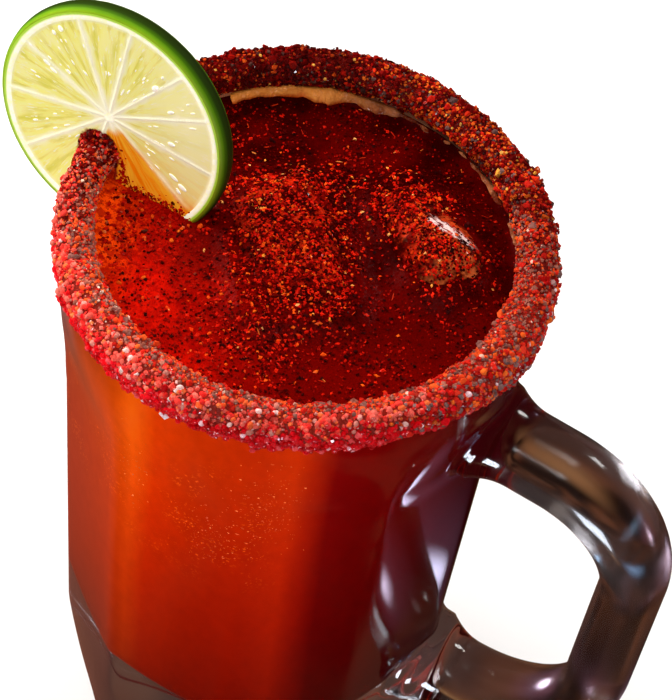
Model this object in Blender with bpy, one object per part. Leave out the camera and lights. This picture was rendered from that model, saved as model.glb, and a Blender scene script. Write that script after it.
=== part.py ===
"""A michelada in its thick glass mug: ten flat panels, one handle, a seasoned rim and a lime slice over it.

Metres, +Z up. The origin is the centre of the mug's underside. The handle points along +X and the lime stands
opposite it, at -X. Angles run from +X towards +Y, so the front of the mug, at -Y, is at -90 degrees.
"""

import math
import random

import bmesh
import bpy
from mathutils import Matrix, Vector, noise

# The glass mug
HEIGHT = 0.157
RIM_RADIUS = 0.0466
RIM_WALL = 0.0052
RIM_STEPS = 6
BAND_LOW = 0.129
BAND_END = 0.112
BAND_EASE = (0.0005, 0.005)
BODY_RADIUS_AT_RIM = 0.046
BODY_TAPER = 0.04
HEEL_TOP = 0.035
HEEL_TAPER = 0.19
FOOT_ROUND = 0.003
FLOOR = 0.0415
FLOOR_RADIUS = 0.0365
FLOOR_ROUND = 0.010
MUG_STEPS = 60

# The panels round the mug
PANELS = 10
PANEL_LAND = 0.00035
PANEL_BELOW = -0.002
PANEL_RUNOUT_LOW = 0.118
PANEL_RUNOUT_RADIUS = 0.0368
PANEL_RUNOUT_HIGH = 0.137
PANEL_RUNOUT_STEPS = 4
PANEL_ABOVE = (HEIGHT + 0.010, 0.062)

# The handle, by its centreline
HANDLE_REACH = 0.0809
HANDLE_TOP = 0.1282
HANDLE_LOW = 0.0448
HANDLE_TOP_FALL = 0.06
HANDLE_LOW_FALL = 0.10
HANDLE_LEAN = 0.0044
HANDLE_TOP_BEND = 0.0216
HANDLE_LOW_BEND = 0.0280
HANDLE_DEPTH = 0.0130
HANDLE_WIDTH = 0.0178
HANDLE_FLARE = 0.30
HANDLE_FLARE_LENGTH = 0.0075
HANDLE_FLARE_STEPS = (0.0, 0.0022, 0.0046, HANDLE_FLARE_LENGTH)
HANDLE_BURIED = 0.0038
HANDLE_SIDES = 16

# The drink, the ice in it and the foam at its edge
LEVEL = 0.150
GAP = 0.0003
ICE_HEIGHT = 0.022
ICE_ROUND = 0.0080
ICE = {
    "ice_left": {"centre": (-0.0031, -0.0004), "half_length": 0.0195, "half_width": 0.0125,
                 "lift": 0.0040, "turn": -49.0, "tilt": 4.0},
    "ice_right": {"centre": (0.0178, 0.0166), "half_length": 0.0158, "half_width": 0.0088,
                  "lift": 0.0048, "turn": -34.0, "tilt": -3.0},
}
FOAM_FROM = 45.0
FOAM_TO = 140.0
FOAM_THICKNESS = 0.0016
FOAM_HEIGHT = 0.0022

# The coarse flakes that float on the drink and lie on the ice
FLAKES = 84
FLAKES_WITHIN = 0.0370
FLAKE_SIZES = (0.0007, 0.0012)
FLAKE_FROM_ICE = 0.0022
FLAKE_FROM_LIME = 0.0055
ICE_FLAKES = 12
ICE_FLAKES_OVER = (0.72, 0.60)

# The seasoned rim
CRUST_INSIDE = 0.0018
CRUST_TOP = 0.0018
CRUST_OUTSIDE = 0.0019
CRUST_THINNEST = 0.0007
CRUST_BUMP = 0.0003
CRUST_BUMPS_A_METRE = 450.0
CRUST_WAVE = 0.0004
CRUST_WAVES = 9
CRUST_DEPTH_INSIDE = 0.0017
CRUST_DEPTHS = ((-147, 0.0056), (-110, 0.0050), (-65, 0.0030), (-30, 0.0022), (6, 0.0080), (45, 0.0070),
                (115, 0.0055), (165, 0.0060), (213, 0.0056))
CRUST_STEPS = 60
LUMPS = 102
LUMP_SIZES = (0.0009, 0.0017)
LUMP_SHARES = (0.06, 0.52, 0.80, 0.30, 0.97, 0.66)
LUMP_FREE_AT_LIME = 7.5

# The lime slice
LIME_RADIUS = 0.0250
LIME_THICKNESS = 0.0044
LIME_PITH = 0.0228
LIME_PEEL = 0.0241
LIME_EDGE = 0.0005
LIME_RELIEF = 0.00045
LIME_MEMBRANE = 0.0006
LIME_LEG = 0.0388
LIME_CORE = Vector((-0.0006, 0.0015, 0.0))
LIME_MEMBRANES = (-171, -135, -102, -69, -28, 4, 38, 63, 93, 121, 150)
LIME_CENTRE = Vector((-0.0424, -0.0014, HEIGHT + 0.0053))
LIME_TILT = math.radians(10)
SLIT_EASE = 0.0004
SLIT_EASE_TOP = 0.0002
SLIT_CROWN = 0.72
SLIT_LOW = HEIGHT - 0.040
SLIT_FROM = 160.0
SLIT_SWEEP = 40.0


def clear_scene():
    for obj in list(bpy.data.objects):
        bpy.data.objects.remove(obj)


def material(name, colour, roughness, transmission=0.0):
    made = bpy.data.materials.new(name)
    made.use_nodes = True
    shader = made.node_tree.nodes["Principled BSDF"]
    shader.inputs["Base Color"].default_value = (*colour, 1.0)
    shader.inputs["Roughness"].default_value = roughness
    shader.inputs["Metallic"].default_value = 0.0
    shader.inputs["Transmission Weight"].default_value = transmission
    made.diffuse_color = (*colour, 1.0)
    return made


def mesh_object(name, bm, finish=None, sharp_degrees=35.0):
    """Turns a bmesh into an object, with its normals outwards and its shading smooth."""
    bmesh.ops.remove_doubles(bm, verts=bm.verts, dist=1e-7)
    bmesh.ops.recalc_face_normals(bm, faces=bm.faces)
    mesh = bpy.data.meshes.new(name)
    bm.to_mesh(mesh)
    bm.free()
    mesh.shade_smooth()
    mesh.set_sharp_from_angle(angle=math.radians(sharp_degrees))
    obj = bpy.data.objects.new(name, mesh)
    bpy.context.scene.collection.objects.link(obj)
    if finish:
        mesh.materials.append(finish)
    return obj


def helper(name, bm):
    """A cutter or another guide, which isn't part of the object."""
    obj = mesh_object(name, bm)
    obj.hide_render = True
    obj.display_type = "WIRE"
    return obj


def boolean(obj, operation, other):
    step = obj.modifiers.new(f"{operation.title()} {other.name}", "BOOLEAN")
    step.operation = operation
    step.solver = "EXACT"
    step.object = other


def arc(centre, radius, start_degrees, end_degrees, steps):
    """Points (r, z) along an arc of a turned profile."""
    points = []
    for i in range(steps + 1):
        angle = math.radians(start_degrees + (end_degrees - start_degrees) * i / steps)
        points.append((centre[0] + radius * math.cos(angle), centre[1] + radius * math.sin(angle)))
    return points


def add_lathe(bm, outline, steps, closed=False, start=0.0, sweep=360.0):
    """Turns an outline of (r, z) points about the Z axis. A part turn gets a face at each end."""
    turn = Matrix.Rotation(math.radians(start), 3, "Z")
    verts = [bm.verts.new(turn @ Vector((r, 0.0, z))) for r, z in outline]
    edges = [bm.edges.new(pair) for pair in zip(verts, verts[1:])]
    if closed:
        edges.append(bm.edges.new((verts[-1], verts[0])))
    full = sweep == 360.0
    if not full:
        bm.faces.new(verts)
    result = bmesh.ops.spin(
        bm,
        geom=verts + edges,
        axis=(0, 0, 1),
        cent=(0, 0, 0),
        angle=math.radians(sweep),
        steps=steps,
        use_merge=full,
        use_duplicate=False,
    )
    if not full:
        last = [item for item in result["geom_last"] if isinstance(item, bmesh.types.BMEdge)]
        bmesh.ops.edgeloop_fill(bm, edges=last)
    bmesh.ops.remove_doubles(bm, verts=bm.verts, dist=1e-6)


def edges_of(verts):
    return list({edge for vert in verts for edge in vert.link_edges})


def bridge_and_cap(bm, rings):
    """Joins rings of edges into a tube with a face at each end."""
    for before, after in zip(rings, rings[1:]):
        bmesh.ops.bridge_loops(bm, edges=before + after)
    bmesh.ops.edgeloop_fill(bm, edges=rings[0])
    bmesh.ops.edgeloop_fill(bm, edges=rings[-1])


def body_radius(z):
    """Outside radius at the panels' corners."""
    return BODY_RADIUS_AT_RIM - BODY_TAPER * (HEIGHT - z)


def inner_radius(z):
    """Radius of the wall's inside, between the floor and the rim."""
    top = HEIGHT - RIM_WALL / 2
    return FLOOR_RADIUS + (RIM_RADIUS - RIM_WALL - FLOOR_RADIUS) * (z - FLOOR) / (top - FLOOR)


def mug_outline():
    foot = body_radius(HEEL_TOP) - HEEL_TAPER * (HEEL_TOP - FOOT_ROUND)
    rim_mid = (RIM_RADIUS - RIM_WALL / 2, HEIGHT - RIM_WALL / 2)
    outline = [(0.0, 0.0)]
    outline += arc((foot - FOOT_ROUND, FOOT_ROUND), FOOT_ROUND, -90, 0, 3)
    outline += [(body_radius(HEEL_TOP), HEEL_TOP), (body_radius(BAND_END), BAND_END)]
    outline += [(RIM_RADIUS - BAND_EASE[0], BAND_LOW - BAND_EASE[1]), (RIM_RADIUS, BAND_LOW)]
    outline += arc(rim_mid, RIM_WALL / 2, 0, 180, RIM_STEPS)
    floor_mid = (inner_radius(FLOOR + FLOOR_ROUND) - FLOOR_ROUND, FLOOR + FLOOR_ROUND)
    outline += arc(floor_mid, FLOOR_ROUND, 0, -90, 5)
    return outline + [(0.0, FLOOR)]


def panel_stack():
    """A ten-sided prism that draws in with the body and flares at its top, where each panel runs out."""
    flat = math.cos(math.pi / PANELS)
    stations = [(PANEL_BELOW, body_radius(PANEL_BELOW) + PANEL_LAND)]
    start = body_radius(PANEL_RUNOUT_LOW) + PANEL_LAND
    for i in range(PANEL_RUNOUT_STEPS + 1):
        rise = (PANEL_RUNOUT_HIGH - PANEL_RUNOUT_LOW) * i / PANEL_RUNOUT_STEPS
        flare = rise * rise / (2 * PANEL_RUNOUT_RADIUS * flat)
        stations.append((PANEL_RUNOUT_LOW + rise, start + flare))
    stations.append(PANEL_ABOVE)
    bm = bmesh.new()
    rings = []
    for z, radius in stations:
        place = Matrix.Translation((0, 0, z))
        ring = bmesh.ops.create_circle(bm, segments=PANELS, radius=radius, matrix=place)
        rings.append(edges_of(ring["verts"]))
    bridge_and_cap(bm, rings)
    # A corner lies in the handle's plane, so the ring's first point has to be on +X.
    first = max(bm.verts, key=lambda vert: vert.co.x)
    back = Matrix.Rotation(-math.atan2(first.co.y, first.co.x), 3, "Z")
    bmesh.ops.rotate(bm, verts=bm.verts, matrix=back)
    return helper("panel_stack", bm)


def bend(corner, before, after, radius, steps):
    """Points of an arc of the given radius that rounds a corner of a path in the XZ plane."""
    into = (corner - before).normalized()
    out = (after - corner).normalized()
    half = into.angle(out) / 2
    start = corner - into * radius * math.tan(half)
    centre = corner + (out - into).normalized() * radius / math.cos(half)
    axis = into.cross(out).normalized()
    turns = [Matrix.Rotation(2 * half * i / steps, 3, axis) for i in range(steps + 1)]
    return [centre + turn @ (start - centre) for turn in turns]


def handle_path():
    top = Vector((body_radius(HANDLE_TOP) - HANDLE_BURIED, 0, HANDLE_TOP))
    low = Vector((body_radius(HANDLE_LOW) - HANDLE_BURIED, 0, HANDLE_LOW))
    top_corner = Vector((HANDLE_REACH, 0, HANDLE_TOP - HANDLE_TOP_FALL * (HANDLE_REACH - top.x)))
    low_reach = HANDLE_REACH - HANDLE_LEAN
    low_corner = Vector((low_reach, 0, HANDLE_LOW - HANDLE_LOW_FALL * (low_reach - low.x)))
    out = (top_corner - top).normalized()
    back = (low_corner - low).normalized()
    steps = [HANDLE_BURIED + step for step in HANDLE_FLARE_STEPS]
    run = [top] + [top + out * step for step in steps]
    run += bend(top_corner, top, low_corner, HANDLE_TOP_BEND, 6)
    run += bend(low_corner, top_corner, low, HANDLE_LOW_BEND, 7)
    return run + [low + back * step for step in reversed(steps[:3])] + [low]


def handle():
    """An oval bar swept along the handle's path, a little fuller where it joins the wall."""
    path = handle_path()
    bm = bmesh.new()
    rings = []
    for i, point in enumerate(path):
        along = (path[min(i + 1, len(path) - 1)] - path[max(i - 1, 0)]).normalized()
        across = Vector((0, 1, 0))
        inward = along.cross(across)
        out = max(0.0, min((point - path[0]).length, (point - path[-1]).length) - HANDLE_BURIED)
        swell = 1 + HANDLE_FLARE * max(0.0, 1 - out / HANDLE_FLARE_LENGTH) ** 2
        frame = Matrix((inward, across, along)).transposed().to_4x4()
        size = Matrix.Diagonal((HANDLE_DEPTH / 2 * swell, HANDLE_WIDTH / 2 * swell, 1, 1))
        ring = bmesh.ops.create_circle(
            bm, segments=HANDLE_SIDES, radius=1.0, matrix=Matrix.Translation(point) @ frame @ size
        )
        rings.append(edges_of(ring["verts"]))
    bridge_and_cap(bm, rings)
    return helper("handle_bar", bm)


def mug():
    bm = bmesh.new()
    add_lathe(bm, mug_outline(), MUG_STEPS)
    made = mesh_object("mug", bm, material("clear_glass", (0.92, 0.95, 0.95), 0.03, 1.0), 50)
    boolean(made, "INTERSECT", panel_stack())
    boolean(made, "UNION", handle())
    return made


def ice_block(centre, half_length, half_width, lift, turn, tilt, grow=0.0):
    """A melting ice cube: a box with well rounded edges, set in the drink with its top just out of it."""
    bm = bmesh.new()
    top = LEVEL + lift
    place = Matrix.Translation((centre[0], centre[1], top - ICE_HEIGHT / 2))
    place = place @ Matrix.Rotation(math.radians(turn), 4, "Z") @ Matrix.Rotation(math.radians(tilt), 4, "Y")
    size = Matrix.Diagonal((2 * (half_length + grow), 2 * (half_width + grow), ICE_HEIGHT + 2 * grow, 1))
    bmesh.ops.create_cube(bm, size=1.0, matrix=place @ size)
    bmesh.ops.bevel(
        bm,
        geom=bm.edges[:],
        offset=ICE_ROUND + grow,
        offset_type="OFFSET",
        segments=3,
        profile=0.5,
        affect="EDGES",
        material=-1,
        clamp_overlap=True,
    )
    return bm


def ice_drop(x, y, spec):
    """How far a block's rounded top lies below its highest plane, at a place along the block's own axes."""
    past_x = max(0.0, abs(x) - spec["half_length"] + ICE_ROUND)
    past_y = max(0.0, abs(y) - spec["half_width"] + ICE_ROUND)
    lean = math.tan(math.radians(spec["tilt"])) * x
    return ICE_ROUND - math.sqrt(ICE_ROUND**2 - past_x**2 - past_y**2) + lean


def grain(bm, place, size, rng):
    """One coarse grain, an uneven twenty-sided lump."""
    squash = Matrix.Diagonal((rng.uniform(0.8, 1.2), rng.uniform(0.8, 1.2), rng.uniform(0.7, 1.0), 1))
    axis = Vector((rng.gauss(0, 1), rng.gauss(0, 1), rng.gauss(0, 1)))
    turn = Matrix.Rotation(rng.uniform(0, math.tau), 4, axis)
    bmesh.ops.create_icosphere(
        bm, subdivisions=1, radius=size, matrix=Matrix.Translation(place) @ turn @ squash
    )


def fuse_grains(obj, grains):
    """Joins grains, each a (place, size) pair, to an object as one solid and removes their own objects."""
    rng = random.Random(len(grains))
    group = bpy.data.collections.new(f"{obj.name}_grains")
    bpy.context.scene.collection.children.link(group)
    for place, size in grains:
        bm = bmesh.new()
        grain(bm, place, size, rng)
        single = helper(f"{obj.name}_grain", bm)
        bpy.context.scene.collection.objects.unlink(single)
        group.objects.link(single)
    step = obj.modifiers.new("Grains", "BOOLEAN")
    step.operation = "UNION"
    step.solver = "EXACT"
    step.operand_type = "COLLECTION"
    step.collection = group
    apply_modifiers(obj)
    for single in list(group.objects):
        bpy.data.objects.remove(single)
    bpy.data.collections.remove(group)


def apply_modifiers(obj):
    """Replaces an object's mesh by its evaluated one and drops every island but the largest."""
    bpy.context.view_layer.update()
    graph = bpy.context.evaluated_depsgraph_get()
    bm = bmesh.new()
    bm.from_object(obj, graph)
    keep_largest(bm)
    obj.modifiers.clear()
    bm.to_mesh(obj.data)
    bm.free()


def keep_largest(bm):
    """Deletes loose scraps and the walls of sealed hollows, all but the widest island with the most faces."""
    left = set(bm.faces)
    islands = []
    while left:
        island = set()
        queue = [left.pop()]
        while queue:
            face = queue.pop()
            island.add(face)
            for edge in face.edges:
                for other in edge.link_faces:
                    if other in left:
                        left.discard(other)
                        queue.append(other)
        islands.append(island)
    spread = [max(face.calc_center_median().length for face in island) * len(island) for island in islands]
    biggest = islands[spread.index(max(spread))]
    scraps = [face for face in bm.faces if face not in biggest]
    bmesh.ops.delete(bm, geom=scraps, context="FACES")


def ice(name, finish):
    spec = ICE[name]
    made = mesh_object(name, ice_block(**spec), finish, 60)
    rng = random.Random(name)
    turn = Matrix.Rotation(math.radians(spec["turn"]), 3, "Z")
    grains = []
    for _ in range(ICE_FLAKES):
        x = rng.uniform(-1, 1) * ICE_FLAKES_OVER[0] * spec["half_length"]
        y = rng.uniform(-1, 1) * ICE_FLAKES_OVER[1] * spec["half_width"]
        top = LEVEL + spec["lift"] - ice_drop(x, y, spec)
        spot = turn @ Vector((x, y, 0)) + Vector((*spec["centre"], top))
        grains.append((spot, rng.uniform(*FLAKE_SIZES)))
    fuse_grains(made, grains)
    return made


def drink():
    """Everything liquid, up to its level, cut round the ice and the dipped half of the lime."""
    bm = bmesh.new()
    floor = FLOOR + GAP
    side = inner_radius(FLOOR + FLOOR_ROUND) - GAP
    outline = [(0.0, floor)]
    outline += arc((side - FLOOR_ROUND, floor + FLOOR_ROUND), FLOOR_ROUND, -90, 0, 5)
    edge = inner_radius(LEVEL) - GAP
    outline += [(edge, LEVEL), (0.0, LEVEL)]
    add_lathe(bm, outline, MUG_STEPS)
    made = mesh_object("drink", bm, material("red_drink", (0.42, 0.03, 0.005), 0.2), 40)
    for name, spec in ICE.items():
        boolean(made, "DIFFERENCE", helper(f"{name}_room", ice_block(grow=GAP, **spec)))
    boolean(made, "DIFFERENCE", lime_room())
    fuse_grains(made, drink_grains())
    return made


def drink_grains():
    """Coarse flakes that float on the drink, clear of the ice, the lime, the foam and the wall."""
    rng = random.Random(7)
    grains = []
    golden = math.pi * (3 - math.sqrt(5))
    for i in range(FLAKES):
        radius = FLAKES_WITHIN * math.sqrt((i + 0.5) / FLAKES)
        angle = golden * i + rng.uniform(-0.3, 0.3)
        size = rng.uniform(*FLAKE_SIZES)
        spot = Vector((radius * math.cos(angle), radius * math.sin(angle), LEVEL))
        on_ice = any(near_ice(spot, spec, size + FLAKE_FROM_ICE) for spec in ICE.values())
        if not on_ice and not near_lime(spot):
            grains.append((spot, size))
    return grains


def near_ice(spot, spec, margin):
    away = spot - Vector((*spec["centre"], spot.z))
    local = Matrix.Rotation(math.radians(-spec["turn"]), 3, "Z") @ away
    return abs(local.x) < spec["half_length"] + margin and abs(local.y) < spec["half_width"] + margin


def near_lime(spot):
    """Whether a place on the drink lies at the slice, which leans and so enters it a little in front."""
    entry = LIME_CENTRE.y - (LIME_CENTRE.z - LEVEL) * math.tan(LIME_TILT)
    in_reach = spot.x < LIME_CENTRE.x + LIME_RADIUS + FLAKE_FROM_LIME
    return in_reach and abs(spot.y - entry) < FLAKE_FROM_LIME


def lime_place():
    """Stands a disc that was made flat upright in the plane of the rim's radius, leaning back a little."""
    return Matrix.Translation(LIME_CENTRE) @ Matrix.Rotation(math.radians(90) - LIME_TILT, 4, "X")


def lime_room():
    """The room that the slice takes in the drink, with its gap all round."""
    bm = bmesh.new()
    bmesh.ops.create_cone(
        bm,
        cap_ends=True,
        segments=40,
        radius1=LIME_RADIUS + GAP,
        radius2=LIME_RADIUS + GAP,
        depth=LIME_THICKNESS + 2 * GAP,
        matrix=lime_place(),
    )
    bmesh.ops.bisect_plane(
        bm,
        geom=bm.verts[:] + bm.edges[:] + bm.faces[:],
        plane_co=(-LIME_LEG - GAP, 0, 0),
        plane_no=(1, 0, 0),
        clear_inner=True,
    )
    bmesh.ops.holes_fill(bm, edges=[edge for edge in bm.edges if edge.is_boundary])
    return helper("lime_room", bm)


def pith_point(turn):
    """Where a line from the slice's core meets the pith. Its angle grows from straight up towards the mug."""
    angle = math.radians(90 - turn)
    way = Vector((math.cos(angle), math.sin(angle), 0.0))
    along = LIME_CORE.dot(way)
    reach = math.sqrt(along**2 + LIME_PITH**2 - LIME_CORE.length_squared) - along
    return LIME_CORE + way * reach


def lime_half(bm, steps):
    """One cut face of the slice, down to its middle: sunken flesh between membranes, then pith and peel."""
    face_z = LIME_THICKNESS / 2
    up = Vector((0.0, 0.0, face_z))
    core = bm.verts.new(LIME_CORE + up)
    ring = []
    turns = list(LIME_MEMBRANES) + [LIME_MEMBRANES[0] + 360]
    for start, end in zip(turns, turns[1:]):
        for i in range(steps):
            ring.append(bm.verts.new(pith_point(start + (end - start) * i / steps) + up))
    wedges = []
    for i in range(0, len(ring), steps):
        arc_points = [ring[(i + j) % len(ring)] for j in range(steps + 1)]
        wedges.append(bm.faces.new([core] + arc_points[::-1]))
    bmesh.ops.inset_individual(
        bm, faces=wedges, thickness=LIME_MEMBRANE, depth=-LIME_RELIEF, use_even_offset=True
    )
    rim = [edge for edge in bm.edges if edge.is_boundary]
    outer = [(LIME_PEEL, face_z), (LIME_RADIUS - LIME_EDGE, face_z - LIME_EDGE), (LIME_RADIUS, 0.0)]
    for radius, z in outer:
        made = bmesh.ops.extrude_edge_only(bm, edges=rim)["geom"]
        rim = [item for item in made if isinstance(item, bmesh.types.BMEdge)]
        for vert in [item for item in made if isinstance(item, bmesh.types.BMVert)]:
            scale = radius / math.hypot(vert.co.x, vert.co.y)
            vert.co = Vector((vert.co.x * scale, vert.co.y * scale, z))


def lime():
    bm = bmesh.new()
    lime_half(bm, 4)
    bmesh.ops.mirror(bm, geom=bm.verts[:] + bm.edges[:] + bm.faces[:], axis="Z", merge_dist=1e-6)
    bmesh.ops.transform(bm, matrix=lime_place(), verts=bm.verts)
    made = mesh_object("lime_slice", bm, material("lime", (0.62, 0.66, 0.14), 0.3), 40)
    boolean(made, "DIFFERENCE", slit_cutter())
    return made


def slit_cutter():
    """The slit in the slice: as wide as the seasoned rim that it sits on, round over it, and open below."""
    outside = RIM_RADIUS + CRUST_OUTSIDE + 2 * GAP + SLIT_EASE
    inside = LIME_LEG
    middle = (outside + inside) / 2
    half = (outside - inside) / 2
    top = HEIGHT + CRUST_TOP + 2 * GAP + SLIT_EASE_TOP
    outline = [(inside, SLIT_LOW), (outside, SLIT_LOW)]
    for i in range(9):
        angle = math.pi * i / 8
        fall = half * SLIT_CROWN * (1 - math.sin(angle))
        outline.append((middle + half * math.cos(angle), top - fall))
    bm = bmesh.new()
    add_lathe(bm, outline, 12, closed=True, start=SLIT_FROM, sweep=SLIT_SWEEP)
    return helper("slit_cutter", bm)


def rim_lengths(hang):
    """Lengths over the glass rim: up the inside, over the round, and down the outside."""
    return (CRUST_DEPTH_INSIDE, math.pi * RIM_WALL / 2, hang)


def rim_frame(at, hang):
    """A point of the glass rim's surface and its normal, at a length from the seasoning's inside edge."""
    radius = RIM_WALL / 2
    mid = (RIM_RADIUS - radius, HEIGHT - radius)
    lengths = rim_lengths(hang)
    if at < lengths[0]:
        return (mid[0] - radius, mid[1] - lengths[0] + at), (-1.0, 0.0)
    at -= lengths[0]
    if at < lengths[1]:
        angle = math.pi - at / radius
        normal = (math.cos(angle), math.sin(angle))
        return (mid[0] + radius * normal[0], mid[1] + radius * normal[1]), normal
    return (mid[0] + radius, mid[1] - (at - lengths[1])), (1.0, 0.0)


def crust_hang(angle):
    """How far the seasoning reaches down the outside, by the angle round the rim in degrees."""
    first = CRUST_DEPTHS[0][0]
    angle = (angle - first) % 360 + first
    for (before, low), (after, high) in zip(CRUST_DEPTHS, CRUST_DEPTHS[1:]):
        if angle <= after:
            share = (angle - before) / (after - before)
            wave = CRUST_WAVE * math.cos(math.radians(CRUST_WAVES * angle))
            return low + (high - low) * share * share * (3 - 2 * share) + wave


def crust_thickness(share):
    """Thickness over the rim: about even, and thinner at both edges."""
    body = CRUST_INSIDE + (CRUST_OUTSIDE - CRUST_INSIDE) * share
    return body * (0.45 + 0.55 * min(1.0, share * 7, (1 - share) * 5))


def crust():
    """The seasoning over the rim: a ring that clears the glass, with coarse grains fused on."""
    bm = bmesh.new()
    rings = []
    for step in range(CRUST_STEPS):
        angle = 360.0 * step / CRUST_STEPS
        hang = crust_hang(angle)
        turn = Matrix.Rotation(math.radians(angle), 3, "Z")
        inside, over, outside = rim_lengths(hang)
        places = [0.0] + [inside + over * i / RIM_STEPS for i in range(RIM_STEPS + 1)]
        places += [inside + over + outside * 0.6, inside + over + outside]
        near = []
        far = []
        for at in places:
            share = at / places[-1]
            (r, z), (nr, nz) = rim_frame(at, hang)
            bump = CRUST_BUMP * noise.noise(turn @ Vector((r, 0, z)) * CRUST_BUMPS_A_METRE)
            out = GAP + max(crust_thickness(share) + bump, CRUST_THINNEST)
            near.append(turn @ Vector((r + nr * GAP, 0, z + nz * GAP)))
            far.append(turn @ Vector((r + nr * out, 0, z + nz * out)))
        rings.append([bm.verts.new(point) for point in near + far[::-1]])
    for before, after in zip(rings, rings[1:] + rings[:1]):
        for i in range(len(before)):
            j = (i + 1) % len(before)
            bm.faces.new((before[i], before[j], after[j], after[i]))
    made = mesh_object("rim_crust", bm, material("rim_seasoning", (0.45, 0.05, 0.02), 0.45), 60)
    fuse_grains(made, crust_grains())
    return made


def crust_grains():
    """Coarse grains all over the seasoning, each far enough out to clear the glass, and none in the slit."""
    rng = random.Random(11)
    grains = []
    for i in range(LUMPS):
        angle = 360.0 * i / LUMPS + rng.uniform(-1.2, 1.2)
        share = LUMP_SHARES[i % len(LUMP_SHARES)] + rng.uniform(-0.05, 0.05)
        share = min(max(share, 0.04), 0.99)
        size = rng.uniform(*LUMP_SIZES)
        if abs(angle - 180.0) < LUMP_FREE_AT_LIME:
            continue
        if share < 0.15:
            size = LUMP_SIZES[0]
        hang = crust_hang(angle)
        (r, z), (nr, nz) = rim_frame(share * sum(rim_lengths(hang)), hang)
        out = max(GAP + crust_thickness(share) * 0.8, size * 1.15 + GAP)
        turn = Matrix.Rotation(math.radians(angle), 3, "Z")
        grains.append((turn @ Vector((r + nr * out, 0, z + nz * out)), size))
    return grains


def foam():
    """The collar of dried foam left on the wall between the drink and the seasoning, round the back."""
    bm = bmesh.new()
    low = LEVEL + GAP
    top = low + FOAM_HEIGHT
    outside = inner_radius(low) - GAP
    outline = [
        (outside, low),
        (outside - FOAM_THICKNESS, low),
        (outside - FOAM_THICKNESS * 0.8, low + FOAM_HEIGHT * 0.6),
        (outside - FOAM_THICKNESS * 0.3, top),
        (outside, top),
    ]
    add_lathe(bm, outline, 20, closed=True, start=FOAM_FROM, sweep=FOAM_TO - FOAM_FROM)
    return mesh_object("foam_collar", bm, material("tan_foam", (0.55, 0.30, 0.16), 0.35), 60)


def main():
    clear_scene()
    mug()
    drink()
    frost = material("sauced_ice", (0.50, 0.04, 0.01), 0.15)
    for name in ICE:
        ice(name, frost)
    foam()
    crust()
    lime()


main()
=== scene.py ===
"""A michelada in a panelled glass mug, with its seasoned rim, iced drink and lime slice.

Metres, +Z up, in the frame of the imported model. The handle points along +X, the lime stands at
-X, and the camera looks from the front right, at about -Y. Angles round the mug run from +X
towards +Y.
"""

import math
import random
from collections import namedtuple

import bmesh
import bpy
import numpy as np
from mathutils import Matrix, Vector, noise
from mathutils.bvhtree import BVHTree
from mathutils.kdtree import KDTree


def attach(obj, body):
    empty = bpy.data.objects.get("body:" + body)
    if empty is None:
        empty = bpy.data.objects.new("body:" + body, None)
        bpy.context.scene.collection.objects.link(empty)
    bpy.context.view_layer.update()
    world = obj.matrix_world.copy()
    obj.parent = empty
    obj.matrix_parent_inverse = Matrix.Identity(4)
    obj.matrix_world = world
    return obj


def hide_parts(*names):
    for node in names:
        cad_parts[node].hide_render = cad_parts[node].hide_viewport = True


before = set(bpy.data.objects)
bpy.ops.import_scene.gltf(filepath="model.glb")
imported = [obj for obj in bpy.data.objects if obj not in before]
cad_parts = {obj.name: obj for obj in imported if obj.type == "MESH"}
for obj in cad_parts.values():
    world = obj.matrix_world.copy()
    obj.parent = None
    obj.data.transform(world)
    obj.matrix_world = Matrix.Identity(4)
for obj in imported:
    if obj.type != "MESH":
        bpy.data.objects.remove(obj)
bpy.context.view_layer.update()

# The mug's measures, as in the part's source
HEIGHT = 0.157
RIM_RADIUS = 0.0466
RIM_WALL = 0.0052
BAND_LOW = 0.129
BAND_END = 0.112
SHOULDER_IN = 0.0005
SHOULDER_DROP = 0.005
BODY_RADIUS_AT_RIM = 0.046
BODY_TAPER = 0.04
HEEL_TOP = 0.035
HEEL_TAPER = 0.19
FOOT_ROUND = 0.003
FOOT_FLAT = 0.030
FLOOR = 0.0415
FLOOR_RADIUS = 0.0365
FLOOR_ROUND = 0.010
LEAST_WALL = 0.0022
PANELS = 10
PANEL_LAND = 0.00015
PANEL_SOFTNESS = 0.00028
PANEL_FADE = (0.118, 0.150)
HANDLE_REACH = 0.0809
HANDLE_TOP = 0.1282
HANDLE_LOW = 0.0448
HANDLE_TOP_FALL = 0.06
HANDLE_LOW_FALL = 0.10
HANDLE_LEAN = 0.0044
HANDLE_TOP_BEND = 0.0216
HANDLE_LOW_BEND = 0.0280
HANDLE_DEPTH = 0.0130
HANDLE_WIDTH = 0.0178
HANDLE_FLARE = 0.30
HANDLE_FLARE_LENGTH = 0.0075
HANDLE_BURIED = 0.0038

# Steps round each turned piece
MUG_STEPS = 300
DRINK_STEPS = 220
FOAM_STEPS = 260
CRUST_STEPS = 480

# The crease where the handle leaves the wall: its fold, where it is, how far it is rounded, the
# lengths its edges are divided to, and how often and how hard they are drawn together
CREASE_FOLD = -0.35
CREASE_FROM_X = 0.036
CREASE_HALF_WIDTH = 0.016
CREASE_NEAR = 0.004
JOINT_ROUND = 0.0026
JOINT_EDGES = (0.0016, 0.0008)
JOINT_PASSES = 14
JOINT_PULL = 0.6

# Edges that fold more than this many degrees are drawn sharp
MUG_SHARP = 48
CUT_SHARP = 50
GRAIN_SHARP = 34.0

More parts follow.
